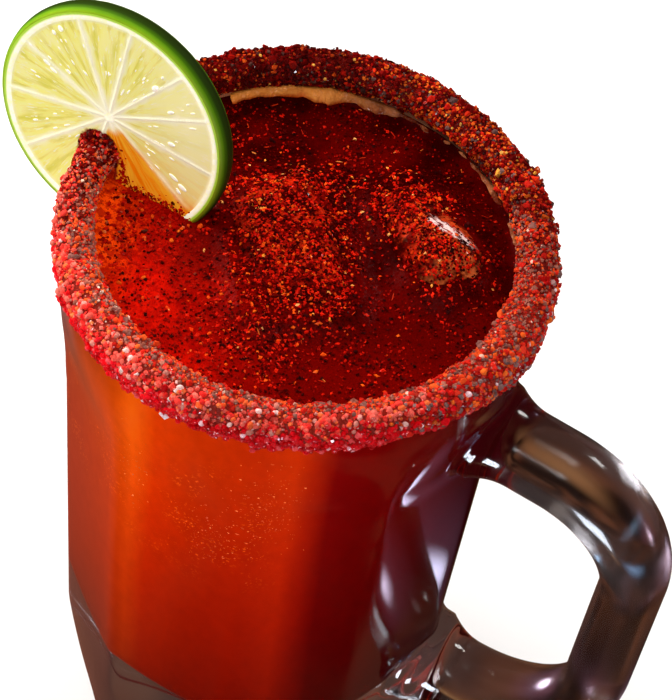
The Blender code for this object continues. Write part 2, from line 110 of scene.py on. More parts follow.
# The drink and the ice that stands in it
LEVEL = 0.150
INTO_WALL = 0.00025
DRINK_EDGE = 0.0385
FLOATING_RADIUS = 0.0392
DROP_FROM = 0.170
ICE_HEIGHT = 0.022
ICE_ROUND = 0.0080
Block = namedtuple("Block", "centre half lift turn tilt")
ICE = {
    "ice_left": Block((-0.0031, -0.0004), (0.0195, 0.0125), 0.0040, -49.0, 4.0),
    "ice_right": Block((0.0178, 0.0166), (0.0158, 0.0088), 0.0048, -34.0, -3.0),
}

# On the block by the handle: its wet crest, the pale band along it, which is frosted ice and a
# painted highlight, and where little seasoning is
CREST = (0.0215, 0.0180, 0.1545)
FROST_GLINT_TURN = math.radians(13)
FROST_GLINT_HALF = (0.0068, 0.0021)
BARE_ICE = (0.0290, 0.0085, 0.1535)

# The froth on the wall: its angles, where it grows fuller and ends and over how many degrees, how
# full it is at least and how much more, and its section as lengths in from the wall and up
FOAM_START = 20.0
FOAM_SWEEP = 122.0
FOAM_GROWS = (88.0, 26.0)
FOAM_ENDS = (144.0, 10.0)
FOAM_LEAST = 0.38
FOAM_MORE = 0.50
FOAM_DEPTH = 0.0021
FOAM_SECTION = (
    (0.0, 0.0), (FOAM_DEPTH, 0.0002), (0.0022, 0.0009), (0.0018, 0.0018), (0.0010, 0.0027),
    (0.0, 0.0030),
)

# The seasoning: how far down it hangs outside by the angle, its depths on the glass, and where
# round the rim it is thin, over how many degrees and by how much
CRUST_HANGS = (
    (-147, 0.0056), (-110, 0.0050), (-65, 0.0030), (-30, 0.0022), (6, 0.0080), (45, 0.0070),
    (115, 0.0055), (165, 0.0060), (213, 0.0056),
)
CRUST_INSIDE = 0.0017
CRUST_OUTSIDE = 0.0018
CRUST_DEPTH_INSIDE = 0.0019
CRUST_OFF_GLASS = 0.00005
CRUST_LEAST = 0.00025
CRUST_PLACES = 26
THIN_CRUST_ANGLE = 190.0
THIN_CRUST_SPREAD = 70.0
THIN_CRUST = 0.60

# The lime slice, in its own flat frame and where it stands
LIME_RADIUS = 0.0250
LIME_THICKNESS = 0.0044
LIME_PITH = 0.0228
LIME_PEEL = 0.0241
LIME_CORE = Vector((-0.0006, 0.0015, 0.0))
LIME_CORE_RADIUS = 0.0011
LIME_CENTRE = Vector((-0.0424, -0.0014, HEIGHT + 0.0053))
LIME_TILT = math.radians(10)
LIME_MEMBRANES = (-171, -135, -102, -69, -28, 4, 38, 63, 93, 121, 150)
LIME_TURN_UNIT = 36.0
LIME_REACH_BLEND = (0.0180, 0.0035)
LIME_EDGE = (
    (0.0234, 0.0), (0.0240, 0.0), (0.0244, 0.00012), (0.0247, 0.0005), (0.02488, 0.0011),
    (LIME_RADIUS, 0.0017), (LIME_RADIUS, LIME_THICKNESS / 2),
)
SLIT_OUTSIDE = 0.0013
SLIT_INSIDE = 0.0016
SLIT_TOP = 0.0022
SLIT_BOTTOM = -0.04
SLIT_DEPTH = 0.012
SLIT_STAIN = (0.20, 0.008, 0.003)

# The larger beads of juice on the slice, near white as painted glints: place on its face, half
# width, length over width
JUICE_BEADS = (
    (-0.0138, 0.0158, 0.00055, 1.3), (-0.0150, 0.0142, 0.0004, 1.5),
    (-0.0155, 0.0066, 0.00036, 2.4), (-0.0138, 0.0056, 0.00032, 2.8),
    (0.0078, 0.0133, 0.00066, 1.4), (0.0118, 0.0097, 0.00036, 2.2),
    (0.0132, 0.0026, 0.00048, 1.8), (0.0150, -0.0047, 0.00042, 2.8),
    (0.0172, -0.0060, 0.0005, 2.2), (-0.0004, 0.0157, 0.0003, 1.6),
    (0.0088, 0.0165, 0.0003, 1.3), (-0.0195, 0.0087, 0.0003, 1.5),
    (-0.0159, -0.0080, 0.00026, 2.6), (-0.0114, -0.0075, 0.00024, 2.6),
    (0.0166, -0.0074, 0.0003, 2.0),
)
JUICE_BEAD_COUNT = 80

# Bubbles on the wall: middle angle, height, spread in degrees, spread in height, count
BUBBLE_PATCHES = (
    (-104.5, 0.122, 3.0, 0.008, 90),
    (-79.0, 0.112, 5.5, 0.006, 170),
    (-66.0, 0.126, 4.5, 0.007, 300),
)
BUBBLE_HIGHEST = 0.142

# Seasoning on the drink: a bank from its start by its run, in millimetres, as wide and dense as
# this, and clots about a place by the lime
BANK_START = (-4.0, 12.0)
BANK_RUN = (6.0, -34.0)
BANK_WIDTH = 9.0
BANK_DENSITY = 0.6
CLOTS_PLACE = (-0.030, -0.004)
CLOTS_REACH = 0.013

# Seasoning stuck to the slice along the drink: from and to, and how low, in the slice's flat frame
STUCK_FROM = 0.0032
STUCK_TO = 0.0205
STUCK_AT = -0.0135

# What the glass mirrors from below: middle, radius and light of soft cards on the table, which
# are bright but for the first. Under the mug's front it keeps the table dark.
FLOOR_CARDS = (
    ((0.030, -0.085), 0.100, (0.004, 0.0015, 0.001)),
    ((-0.080, -0.015), 0.075, (0.46, 0.080, 0.036)),
    ((-0.040, -0.010), 0.030, (0.24, 0.095, 0.060)),
    ((-0.15, 0.060), 0.07, (0.45, 0.36, 0.36)),
    ((0.085, 0.029), 0.030, (0.21, 0.10, 0.16)),
    ((0.0815, 0.0275), 0.008, (4.4, 4.2, 6.0)),
    ((0.034, 0.096), 0.040, (0.30, 0.155, 0.070)),
    ((0.56, -0.22), 0.26, (2.6, 5.0, 8.4)),
    ((0.30, -0.38), 0.08, (3.4, 2.1, 1.1)),
)

# Lamps: name, place, size, watts and colour. Those that light aren't mirrored, and the small ones
# and the card are only mirrored.
LAMP_TARGET = Vector((0.0, 0.0, 0.10))
LIGHTING_LAMPS = (
    ("window_left", (-0.75, 0.10, 0.55), (0.7, 0.5), 12.0, (1.0, 0.97, 0.93)),
    ("window_back", (0.30, 0.85, 0.75), (0.5, 0.35), 6.0, (1.0, 1.0, 1.0)),
    ("soft_top", (0.10, -0.35, 1.20), (0.8, 0.8), 6.5, (0.96, 0.98, 1.0)),
)
MIRRORED_LAMPS = (
    ("spark_back", (0.322, 0.890, 0.754), (0.18, 0.12), 0.9, (1.0, 0.98, 0.96)),
    ("spark_left", (-0.75, 0.10, 0.55), (0.16, 0.12), 0.8, (1.0, 0.97, 0.93)),
    ("spark_top", (0.10, -0.35, 1.20), (0.12, 0.12), 0.8, (0.96, 0.98, 1.0)),
    ("card_front", (0.395, -0.779, 0.13), (0.34, 0.30), 9.0, (0.80, 0.88, 1.0)),
)

# The camera: where it stands, how it is turned, its lens on a 36 mm frame, and the shares of X
# and Y in the picture's right
CAMERA_PLACE = Vector((0.1728, -0.3757, 0.6523))
CAMERA_HEADING = math.radians(23.487)
CAMERA_PITCH = 0.9083
CAMERA_ROLL = 0.157
CAMERA_LENS = 175.63
RIGHT_X = 0.9085
RIGHT_Y = 0.4179

# Tints of small things. Each is a weight and the two ends of its colours.
# The darkest, maroon set behind is a shaded copy of the seasoning: painted shade. The pale pink and
# white tints that end the top, right, bead and edge sets are partly salt and partly painted glints.
SHADED_BACK_TINTS = (
    (7, (0.045, 0.0002, 0.0002), (0.17, 0.001, 0.0006)),
    (3, (0.20, 0.002, 0.001), (0.38, 0.006, 0.002)),
    (1, (0.50, 0.035, 0.004), (0.72, 0.10, 0.010)),
    (0.6, (0.06, 0.020, 0.016), (0.12, 0.045, 0.036)),
    (0.15, (0.85, 0.34, 0.04), (0.90, 0.45, 0.08)),
)
BACK_RIGHT_TINTS = (
    (4, (0.12, 0.0006, 0.0006), (0.36, 0.003, 0.002)),
    (3, (0.46, 0.008, 0.004), (0.74, 0.030, 0.006)),
    (2.6, (0.80, 0.075, 0.008), (0.92, 0.18, 0.016)),
    (1.2, (0.10, 0.045, 0.040), (0.22, 0.11, 0.10)),
    (0.2, (0.90, 0.38, 0.04), (0.92, 0.48, 0.10)),
)
TOP_TINTS = (
    (3, (0.26, 0.070, 0.045), (0.40, 0.13, 0.090)),
    (1.5, (0.14, 0.050, 0.040), (0.26, 0.10, 0.080)),
    (2.5, (0.62, 0.035, 0.008), (0.85, 0.11, 0.020)),
    (3, (0.45, 0.008, 0.005), (0.70, 0.022, 0.010)),
    (0.14, (0.86, 0.42, 0.30), (0.92, 0.60, 0.48)),
)
RIGHT_TINTS = (
    (3, (0.22, 0.002, 0.002), (0.48, 0.006, 0.004)),
    (2, (0.56, 0.014, 0.008), (0.76, 0.040, 0.018)),
    (1.5, (0.15, 0.075, 0.070), (0.30, 0.16, 0.15)),
    (1.5, (0.72, 0.075, 0.010), (0.85, 0.16, 0.020)),
    (0.14, (0.78, 0.46, 0.50), (0.90, 0.68, 0.72)),
)
BEAD_TINTS = (
    (4, (0.72, 0.065, 0.045), (0.86, 0.15, 0.11)),
    (4, (0.70, 0.018, 0.014), (0.84, 0.050, 0.036)),
    (1.5, (0.76, 0.090, 0.022), (0.88, 0.17, 0.050)),
    (0.8, (0.52, 0.16, 0.12), (0.68, 0.26, 0.22)),
    (0.26, (0.88, 0.38, 0.34), (0.93, 0.64, 0.60)),
)
EDGE_TINTS = (
    (6, (0.58, 0.001, 0.004), (0.84, 0.006, 0.014)),
    (1, (0.80, 0.035, 0.045), (0.90, 0.10, 0.11)),
    (1.5, (0.36, 0.001, 0.002), (0.58, 0.003, 0.005)),
    (0.25, (0.90, 0.36, 0.42), (0.94, 0.66, 0.72)),
)
# The powder on the drink as lit and shaded copies: painted light and painted shade.
PAINTED_LIT_POWDER_TINTS = (
    (5, (0.10, 0.0008, 0.0), (0.30, 0.003, 0.001)),
    (1, (0.03, 0.0, 0.0), (0.06, 0.0, 0.0)),
)
SHADED_POWDER_TINTS = (
    (6, (0.020, 0.0, 0.0), (0.09, 0.0005, 0.0002)),
    (3, (0.24, 0.0015, 0.0004), (0.52, 0.006, 0.001)),
)
SPECK_TINTS = ((1, (0.008, 0.001, 0.001), (0.03, 0.002, 0.002)),)
FLAKE_TINTS = (
    (7, (0.50, 0.003, 0.001), (0.82, 0.016, 0.003)),
    (3, (0.76, 0.035, 0.003), (0.90, 0.11, 0.006)),
    (0.45, (0.92, 0.26, 0.02), (0.95, 0.42, 0.12)),
)
CLOT_TINTS = (
    (6, (0.30, 0.002, 0.0005), (0.62, 0.008, 0.001)),
    (0.6, (0.03, 0.001, 0.001), (0.08, 0.002, 0.001)),
    (1.2, (0.75, 0.06, 0.004), (0.85, 0.15, 0.010)),
)
FIBRE_TINTS = (
    (3, (0.36, 0.005, 0.002), (0.62, 0.035, 0.005)),
    (1, (0.76, 0.12, 0.012), (0.85, 0.24, 0.05)),
)
BUBBLE_TINTS = (
    (4, (0.52, 0.045, 0.002), (0.78, 0.13, 0.008)),
    (1, (0.85, 0.20, 0.02), (0.95, 0.40, 0.10)),
)
BLACK = (0.0, 0.0, 0.0)
WHITE = (1.0, 1.0, 1.0)


class Signal:
    """A node's output socket, for Python expressions that each add their Math node."""

    def __init__(self, recipe, socket):
        self.recipe = recipe
        self.socket = socket

    def math(self, operation, other):
        return self.recipe.math(operation, self, other)

    def __add__(self, other):
        return self.math("ADD", other)

    def __sub__(self, other):
        return self.math("SUBTRACT", other)

    def __rsub__(self, other):
        return self.recipe.math("SUBTRACT", other, self)

    def __mul__(self, other):
        return self.math("MULTIPLY", other)

    def __truediv__(self, other):
        return self.math("DIVIDE", other)

    __radd__ = __add__
    __rmul__ = __mul__

    def between(self, low, high):
        """0 below low, 1 above high, and smooth in between."""
        sockets = {0: self, 1: low, 2: high, 3: 0.0, 4: 1.0}
        return self.recipe.node("ShaderNodeMapRange", sockets, interpolation_type="SMOOTHSTEP")


class Recipe:
    """One material, or the world's light, and the nodes that make it."""

    def __init__(self, name, kept_in="materials"):
        self.result = getattr(bpy.data, kept_in).new(name)
        self.result.use_nodes = True
        self.tree = self.result.node_tree
        self.tree.nodes.clear()

    def node(self, kind, sockets=(), output=0, **settings):
        """Adds a node: its settings first, then the values or links of its sockets."""
        made = self.tree.nodes.new(kind)
        for key, value in settings.items():
            if key == "stops":
                elements = made.color_ramp.elements
                while len(elements) < len(value):
                    elements.new(0.5)
                for element, (position, colour) in zip(elements, value):
                    element.position = position
                    element.color = (*colour, 1.0)
            else:
                setattr(made, key, value)
        for key, value in dict(sockets).items():
            if isinstance(value, Signal):
                self.tree.links.new(value.socket, made.inputs[key])
            elif isinstance(value, tuple) and made.inputs[key].type == "RGBA":
                made.inputs[key].default_value = (*value, 1.0)
            else:
                made.inputs[key].default_value = value
        return Signal(self, made.outputs[output])

    def math(self, operation, *values):
        return self.node("ShaderNodeMath", enumerate(values), operation=operation)

    def place(self):
        return self.node("ShaderNodeTexCoord", output="Object")

    def ray(self, kind):
        """1 for rays of this kind, such as Camera, and 0 for the rest."""
        return self.node("ShaderNodeLightPath", output=f"Is {kind} Ray")

    def attribute(self, name, output="Fac"):
        return self.node("ShaderNodeAttribute", output=output, attribute_name=name)

    def parts(self, vector):
        split = self.node("ShaderNodeSeparateXYZ", {0: vector})
        return [Signal(self, socket) for socket in split.socket.node.outputs]

    def vector(self, x, y, z=0.0):
        return self.node("ShaderNodeCombineXYZ", {0: x, 1: y, 2: z})

    def distance(self, place, point):
        sockets = {0: place, 1: point}
        return self.node("ShaderNodeVectorMath", sockets, "Value", operation="DISTANCE")

    def mapped(self, vector, move=(0, 0, 0), turn=0.0, scale=(1, 1, 1)):
        """The vector scaled, turned about Z and moved, in this order."""
        return self.node("ShaderNodeMapping", {0: vector, 1: move, 2: (0.0, 0.0, turn), 3: scale})

    def noise(self, vector, scale, detail=3.0, roughness=0.5):
        sockets = {"Vector": vector, "Scale": scale, "Detail": detail, "Roughness": roughness}
        return self.node("ShaderNodeTexNoise", sockets)

    def cells(self, vector, scale, feature="F1"):
        sockets = {"Vector": vector, "Scale": scale}
        return self.node("ShaderNodeTexVoronoi", sockets, feature=feature)

    def mix(self, share, first, second, how="MIX"):
        sockets = {0: share, 6: first, 7: second}
        return self.node("ShaderNodeMix", sockets, 2, data_type="RGBA", blend_type=how)

    def multiply(self, share, first, second):
        return self.mix(share, first, second, "MULTIPLY")

    def layered(self, colour, *layers):
        """The colour with each layer, a share and its colour, laid over it in turn."""
        for share, layer in layers:
            colour = self.mix(share, colour, layer)
        return colour

    def ramp(self, value, stops):
        return self.node("ShaderNodeValToRGB", {0: value}, stops=stops)

    def bump(self, height, strength, distance):
        sockets = {"Strength": strength, "Distance": distance, "Height": height}
        return self.node("ShaderNodeBump", sockets)

    def finish(self, colour, roughness, specular=0.5, coat=0.0, coat_roughness=0.06, glow=0.0,
               glow_colour=None, relief=None):
        """Ends the material in a Principled shader, which glows in its own colour by default."""
        sockets = {
            "Base Color": colour,
            "Roughness": roughness,
            "Specular IOR Level": specular,
            "Coat Weight": coat,
            "Coat Roughness": coat_roughness,
            "Emission Color": glow_colour or colour,
            "Emission Strength": glow,
        }
        if relief:
            sockets["Normal"] = self.bump(*relief)
        return self.close(self.node("ShaderNodeBsdfPrincipled", sockets))

    def mix_shaders(self, share, first, second):
        return self.node("ShaderNodeMixShader", {0: share, 1: first, 2: second})

    def close(self, surface, kind="ShaderNodeOutputMaterial"):
        output = self.tree.nodes.new(kind)
        self.tree.links.new(surface.socket, output.inputs["Surface"])
        return self.result


def clamp(value):
    return max(0.0, min(1.0, value))


def ease(share):
    """The share with a soft start and end."""
    return share * share * (3 - 2 * share)


def ripple(x, y, layer, scale):
    """Smooth noise over the drink, between about -1 and 1. Each layer has its own."""
    return noise.noise(Vector((x, y, layer)) * scale)


def to_right(x, y):
    """How far a place lies to the picture's right of the axis. It takes numbers or signals."""
    return x * RIGHT_X + y * RIGHT_Y


def to_front(x, y):
    """How far a place lies towards the camera, seen from above. It takes numbers or signals."""
    return x * RIGHT_Y - y * RIGHT_X


def angle_of(point):
    return math.degrees(math.atan2(point.y, point.x))


def turn_between(first, second):
    """The angle between two directions, all in degrees."""
    return abs((first - second + 180.0) % 360.0 - 180.0)


def set_radius(vert, radius):
    """Moves a vertex level, out or in, to this distance from the Z axis."""
    share = radius / math.hypot(vert.co.x, vert.co.y)
    vert.co.x *= share
    vert.co.y *= share


def as_mesh(name, bm):
    mesh = bpy.data.meshes.new(name)
    bm.to_mesh(mesh)
    bm.free()
    return mesh


def as_object(name, data):
    """An object of this mesh, lamp or camera, in the scene."""
    made = bpy.data.objects.new(name, data)
    bpy.context.scene.collection.objects.link(made)
    return made


def combine(first, second, operation):
    """A bmesh of the first object joined to the second or cut by it. The second is removed."""
    step = first.modifiers.new("Combine", "BOOLEAN")
    step.operation = operation
    step.solver = "EXACT"
    step.object = second
    bpy.context.view_layer.update()
    bm = bmesh.new()
    bm.from_object(first, bpy.context.evaluated_depsgraph_get())
    bpy.data.objects.remove(second)
    return bm


def place_piece(name, mesh, finish, replaces=()):
    mesh.materials.append(finish)
    piece = as_object(name, mesh)
    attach(piece, "root")
    if replaces:
        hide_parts(*replaces)
    return piece


def add_piece(name, bm, finish, replaces=(), sharp=None):
    """Turns a bmesh into a finished piece that rides on the mug."""
    bmesh.ops.remove_doubles(bm, verts=bm.verts, dist=1e-7)
    bmesh.ops.recalc_face_normals(bm, faces=bm.faces)
    mesh = as_mesh(name, bm)
    mesh.shade_smooth()
    if sharp is not None:
        mesh.set_sharp_from_angle(angle=math.radians(sharp))
    return place_piece(name, mesh, finish, replaces)


def arc(centre, radius, start_degrees, end_degrees, steps):
    """Points (r, z) along an arc of a turned profile."""
    points = []
    for i in range(steps + 1):
        angle = math.radians(start_degrees + (end_degrees - start_degrees) * i / steps)
        points.append((centre[0] + radius * math.cos(angle), centre[1] + radius * math.sin(angle)))
    return points


def stretch(start, end, step):
    """Points from start towards end, a step apart, without the last one."""
    count = max(1, round(math.dist(start, end) / step))
    return [tuple(a + (b - a) * i / count for a, b in zip(start, end)) for i in range(count)]


def turn_outline(bm, outline, steps, closed=False, start=0.0, sweep=360.0):
    """Turns an outline of (r, z) points about the axis. A part turn gets a face at each end."""
    turn = Matrix.Rotation(math.radians(start), 3, "Z")
    verts = [bm.verts.new(turn @ Vector((r, 0.0, z))) for r, z in outline]
    edges = [bm.edges.new(pair) for pair in zip(verts, verts[1:])]
    if closed:
        edges.append(bm.edges.new((verts[-1], verts[0])))
    full = sweep == 360.0
    if not full:
        bm.faces.new(verts)
    result = bmesh.ops.spin(
        bm, geom=verts + edges, axis=(0, 0, 1), cent=(0, 0, 0), angle=math.radians(sweep),
        steps=steps, use_merge=full, use_duplicate=False,
    )
    if not full:
        last = [item for item in result["geom_last"] if isinstance(item, bmesh.types.BMEdge)]
        bmesh.ops.edgeloop_fill(bm, edges=last)
    bmesh.ops.remove_doubles(bm, verts=bm.verts, dist=1e-6)


def body_radius(z):
    return BODY_RADIUS_AT_RIM - BODY_TAPER * (HEIGHT - z)


def inner_radius(z):
    """Radius of the wall's inside, between the floor and the rim."""
    top = HEIGHT - RIM_WALL / 2
    return FLOOR_RADIUS + (RIM_RADIUS - RIM_WALL - FLOOR_RADIUS) * (z - FLOOR) / (top - FLOOR)


# Glass


def mug_outline():
    foot = body_radius(HEEL_TOP) - HEEL_TAPER * (HEEL_TOP - FOOT_ROUND)
    mid = (RIM_RADIUS - RIM_WALL / 2, HEIGHT - RIM_WALL / 2)
    heel = (body_radius(HEEL_TOP), HEEL_TOP)
    neck = (body_radius(BAND_END), BAND_END)
    shoulder = (RIM_RADIUS - SHOULDER_IN, BAND_LOW - SHOULDER_DROP)
    lip = (RIM_RADIUS, BAND_LOW)
    foot_arc = arc((foot - FOOT_ROUND, FOOT_ROUND), FOOT_ROUND, -90, 0, 6)
    floor_mid = (inner_radius(FLOOR + FLOOR_ROUND) - FLOOR_ROUND, FLOOR + FLOOR_ROUND)
    floor_arc = arc(floor_mid, FLOOR_ROUND, 0, -90, 10)
    outline = stretch((0.0, 0.0), foot_arc[0], 0.010) + foot_arc[:-1]
    outline += stretch(foot_arc[-1], heel, 0.0016) + stretch(heel, neck, 0.0032)
    outline += stretch(neck, shoulder, 0.0010) + stretch(shoulder, lip, 0.0010)
    outline += stretch(lip, (RIM_RADIUS, mid[1]), 0.0012) + arc(mid, RIM_WALL / 2, 0, 180, 12)[:-1]
    outline += stretch((mid[0] - RIM_WALL / 2, mid[1]), floor_arc[0], 0.004) + floor_arc[:-1]
    return outline + stretch(floor_arc[-1], (0.0, FLOOR), 0.006) + [(0.0, FLOOR)]


def panel_reaches(z, degrees):
    """How far out the two nearest panels let the glass reach at this angle."""
    apothem = (body_radius(z) + PANEL_LAND) * math.cos(math.pi / PANELS)
    across = 360.0 / PANELS
    off = (degrees % across) - across / 2
    other = off - math.copysign(across, off)
    return apothem / math.cos(math.radians(off)), apothem / math.cos(math.radians(other))


def press_panels(bm):
    """Draws the turned glass in to its ten panels, whose rounded edges fade out towards the lip."""
    low, high = PANEL_FADE
    for vert in bm.verts:
        r = math.hypot(vert.co.x, vert.co.y)
        z = vert.co.z
        if r < FOOT_FLAT or r < inner_radius(z) + LEAST_WALL or z > high:
            continue
        reaches = (r, *panel_reaches(z, angle_of(vert.co)))
        least = min(reaches)
        softened = sum(math.exp((least - reach) / PANEL_SOFTNESS) for reach in reaches)
        pressed = least - PANEL_SOFTNESS * math.log(softened)
        set_radius(vert, pressed + (r - pressed) * ease(clamp((z - low) / (high - low))))


def bend(corner, before, after, radius, steps):
    """Points of an arc of the given radius that rounds a corner of a path in the XZ plane."""
    into = (corner - before).normalized()
    out = (after - corner).normalized()
    half = into.angle(out) / 2
    start = corner - into * radius * math.tan(half)
    centre = corner + (out - into).normalized() * radius / math.cos(half)
    axis = into.cross(out).normalized()
    turns = [Matrix.Rotation(2 * half * i / steps, 3, axis) for i in range(steps + 1)]
    return [centre + turn @ (start - centre) for turn in turns]


def handle_path():
    top = Vector((body_radius(HANDLE_TOP) - HANDLE_BURIED, 0, HANDLE_TOP))
    low = Vector((body_radius(HANDLE_LOW) - HANDLE_BURIED, 0, HANDLE_LOW))
    top_corner = Vector((HANDLE_REACH, 0, HANDLE_TOP - HANDLE_TOP_FALL * (HANDLE_REACH - top.x)))
    low_reach = HANDLE_REACH - HANDLE_LEAN
    low_corner = Vector((low_reach, 0, HANDLE_LOW - HANDLE_LOW_FALL * (low_reach - low.x)))
    out = (top_corner - top).normalized()
    back = (low_corner - low).normalized()
    steps = [0.0] + [HANDLE_BURIED + HANDLE_FLARE_LENGTH * i / 8 for i in range(9)]
    path = [top + out * step for step in steps]
    path += bend(top_corner, top, low_corner, HANDLE_TOP_BEND, 26)
    path += bend(low_corner, top_corner, low, HANDLE_LOW_BEND, 28)
    return path + [low + back * step for step in reversed(steps[:-1])]


def handle_bar():
    """An oval bar swept along the handle's path, fuller where it joins the wall."""
    path = handle_path()
    bm = bmesh.new()
    rings = []
    for i, point in enumerate(path):
        along = (path[min(i + 1, len(path) - 1)] - path[max(i - 1, 0)]).normalized()
        across = Vector((0, 1, 0))
        out = max(0.0, min((point - path[0]).length, (point - path[-1]).length) - HANDLE_BURIED)
        swell = 1 + HANDLE_FLARE * max(0.0, 1 - out / HANDLE_FLARE_LENGTH) ** 2
        turn = Matrix((along.cross(across), across, along)).transposed().to_4x4()
        size = Matrix.Diagonal((HANDLE_DEPTH / 2 * swell, HANDLE_WIDTH / 2 * swell, 1, 1))
        place = Matrix.Translation(point) @ turn @ size
        ring = bmesh.ops.create_circle(bm, segments=48, radius=1.0, matrix=place)
        rings.append(list({edge for vert in ring["verts"] for edge in vert.link_edges}))
    for before, after in zip(rings, rings[1:]):
        bmesh.ops.bridge_loops(bm, edges=before + after)
    bmesh.ops.edgeloop_fill(bm, edges=rings[0])
    bmesh.ops.edgeloop_fill(bm, edges=rings[-1])
    bmesh.ops.recalc_face_normals(bm, faces=bm.faces)
    return as_object("handle_bar", as_mesh("handle_bar", bm))


def clear_glass():
    """Thick pressed glass. It is clear round the drink. The solid handle and base are tinted a
    streaky smoky brown, painted shade and reflection that stand for the dark room seen in them."""
    recipe = Recipe("clear_glass")
    place = recipe.place()
    x, _, z = recipe.parts(place)
    # The handle and the foot are tinted darker, with lengthwise streaks: painted shade and
    # reflection.
    foot = 1.0 - z.between(0.030, 0.046)
    dark = x.between(0.044, 0.054).math("MAXIMUM", foot * 0.75)
    streak = recipe.noise(recipe.mapped(place, scale=(30, 260, 18)), 1.0, 2.0)
    painted_room_tint = recipe.mix(streak.between(0.35, 0.65), (0.66, 0.50, 0.42), (0.95, 0.88, 0.86))
    wave = recipe.noise(recipe.mapped(place, scale=(60, 60, 22)), 1.0, 2.0)
    glass = recipe.node("ShaderNodeBsdfPrincipled", {
        "Base Color": recipe.mix(dark, (0.96, 0.97, 0.97), painted_room_tint),
        "Roughness": 0.055 + dark * 0.085,
        "IOR": 1.5,
        "Transmission Weight": 1.0,
        "Normal": recipe.bump(wave, 0.05, 0.0012),
    })
    through = recipe.node("ShaderNodeBsdfTransparent", {0: (0.86, 0.84, 0.84)})
    return recipe.close(recipe.mix_shaders(recipe.ray("Shadow"), glass, through))


def soften_joint(bm):
    """Rounds the creases where the handle leaves the wall, as glass that was pressed on hot."""
    creases = [
        edge for edge in bm.edges
        if len(edge.link_faces) == 2 and edge.calc_face_angle_signed(0.0) < CREASE_FOLD
        and edge.verts[0].co.x > CREASE_FROM_X and abs(edge.verts[0].co.y) < CREASE_HALF_WIDTH
    ]
    tree = KDTree(len(creases))
    for i, edge in enumerate(creases):
        tree.insert((edge.verts[0].co + edge.verts[1].co) / 2, i)
    tree.balance()

    def away(vert):
        return tree.find(vert.co)[2]

    for length in JOINT_EDGES:
        long = [edge for edge in bm.edges
                if edge.calc_length() > length and away(edge.verts[0]) < CREASE_NEAR]
        bmesh.ops.subdivide_edges(bm, edges=long, cuts=1)
        bmesh.ops.triangulate(bm, faces=[face for face in bm.faces if len(face.verts) > 4])
    near = [(vert, away(vert)) for vert in bm.verts if vert.co.x > CREASE_FROM_X - 0.002]
    near = [(vert, 1.0 - gap / JOINT_ROUND) for vert, gap in near if gap < JOINT_ROUND]
    for _ in range(JOINT_PASSES):
        moved = []
        for vert, weight in near:
            others = [edge.other_vert(vert).co for edge in vert.link_edges]
            middle = sum(others, Vector()) / len(others)
            moved.append(vert.co.lerp(middle, JOINT_PULL * weight))
        for (vert, _), spot in zip(near, moved):
            vert.co = spot


def make_mug():
    bm = bmesh.new()
    turn_outline(bm, mug_outline(), MUG_STEPS)
    press_panels(bm)
    mug = add_piece("mug_glass", bm, clear_glass(), replaces=("mug",))
    joined = combine(mug, handle_bar(), "UNION")
    soften_joint(joined)
    mug.modifiers.clear()
    joined.to_mesh(mug.data)
    joined.free()
    mug.data.shade_smooth()
    mug.data.set_sharp_from_angle(angle=math.radians(MUG_SHARP))


# Drink


def liquid_colour(recipe, place):
    """Red beer and tomato, in painted light and shade: orange where light comes through on the
    lime's side, and darker towards the handle and the base as painted shade.
    """
    x, y, z = recipe.parts(place)
    drift = recipe.noise(recipe.mapped(place, scale=(34, 34, 4)), 1.0)
    across = to_right(x, y) + (drift - 0.5) * 0.009
    # Orange on the lime's side to dark red by the handle, with a brighter band near the lime:
    # painted light and shade.
    colour = recipe.ramp((across + 0.046) / 0.092, [
        (0.03, (0.23, 0.046, 0.018)),
        (0.075, (0.31, 0.042, 0.010)),
        (0.145, (0.40, 0.042, 0.002)),
        (0.180, (0.46, 0.046, 0.001)),
        (0.213, (0.66, 0.085, 0.002)),
        (0.255, (0.53, 0.032, 0.0)),
        (0.350, (0.41, 0.021, 0.0)),
        (0.480, (0.37, 0.015, 0.0)),
        (0.550, (0.42, 0.019, 0.0)),
        (0.590, (0.29, 0.008, 0.0)),
        (0.635, (0.13, 0.0, 0.0)),
        (0.720, (0.10, 0.0, 0.0)),
        (0.810, (0.07, 0.001, 0.001)),
        (0.900, (0.025, 0.0, 0.001)),
    ])
    # Darker towards the base: painted shade.
    painted_shade_low = recipe.ramp((z - 0.035) / 0.115, [
        (0.04, (0.26, 0.10, 0.3)),
        (0.40, (0.58, 0.28, 0.4)),
        (0.62, (0.78, 0.50, 0.6)),
        (0.88, WHITE),
    ])
    return recipe.multiply(1.0, colour, painted_shade_low)


def liquid_body():
    """The drink seen through the glass, with fine pulp and a drift of small bubbles in front. It
    glows in its own colour, as painted light.
    """
    recipe = Recipe("red_drink_body")
    place = recipe.place()
    x, _, z = recipe.parts(place)
    pulp = recipe.noise(recipe.mapped(place, scale=(1, 1, 0.6)), 420.0, 3.0, 0.6)
    shade = recipe.ramp(pulp, [(0.3, (0.72, 0.6, 0.5)), (0.7, WHITE)])
    colour = recipe.multiply(0.4, liquid_colour(recipe, place), shade)
    fizz = recipe.noise(place, 1500.0, 2.0, 0.6).between(0.58, 0.68)
    fizz = fizz * recipe.noise(place, 120.0, 2.0).between(0.46, 0.62)
    fizz = fizz * z.between(0.090, 0.106) * (1.0 - z.between(0.130, 0.140))
    colour = recipe.mix(fizz * (1.0 - x.between(0.010, 0.022)) * 0.6, colour, (0.66, 0.10, 0.006))
    return recipe.finish(colour, 0.35, specular=0.02, glow=1.05)


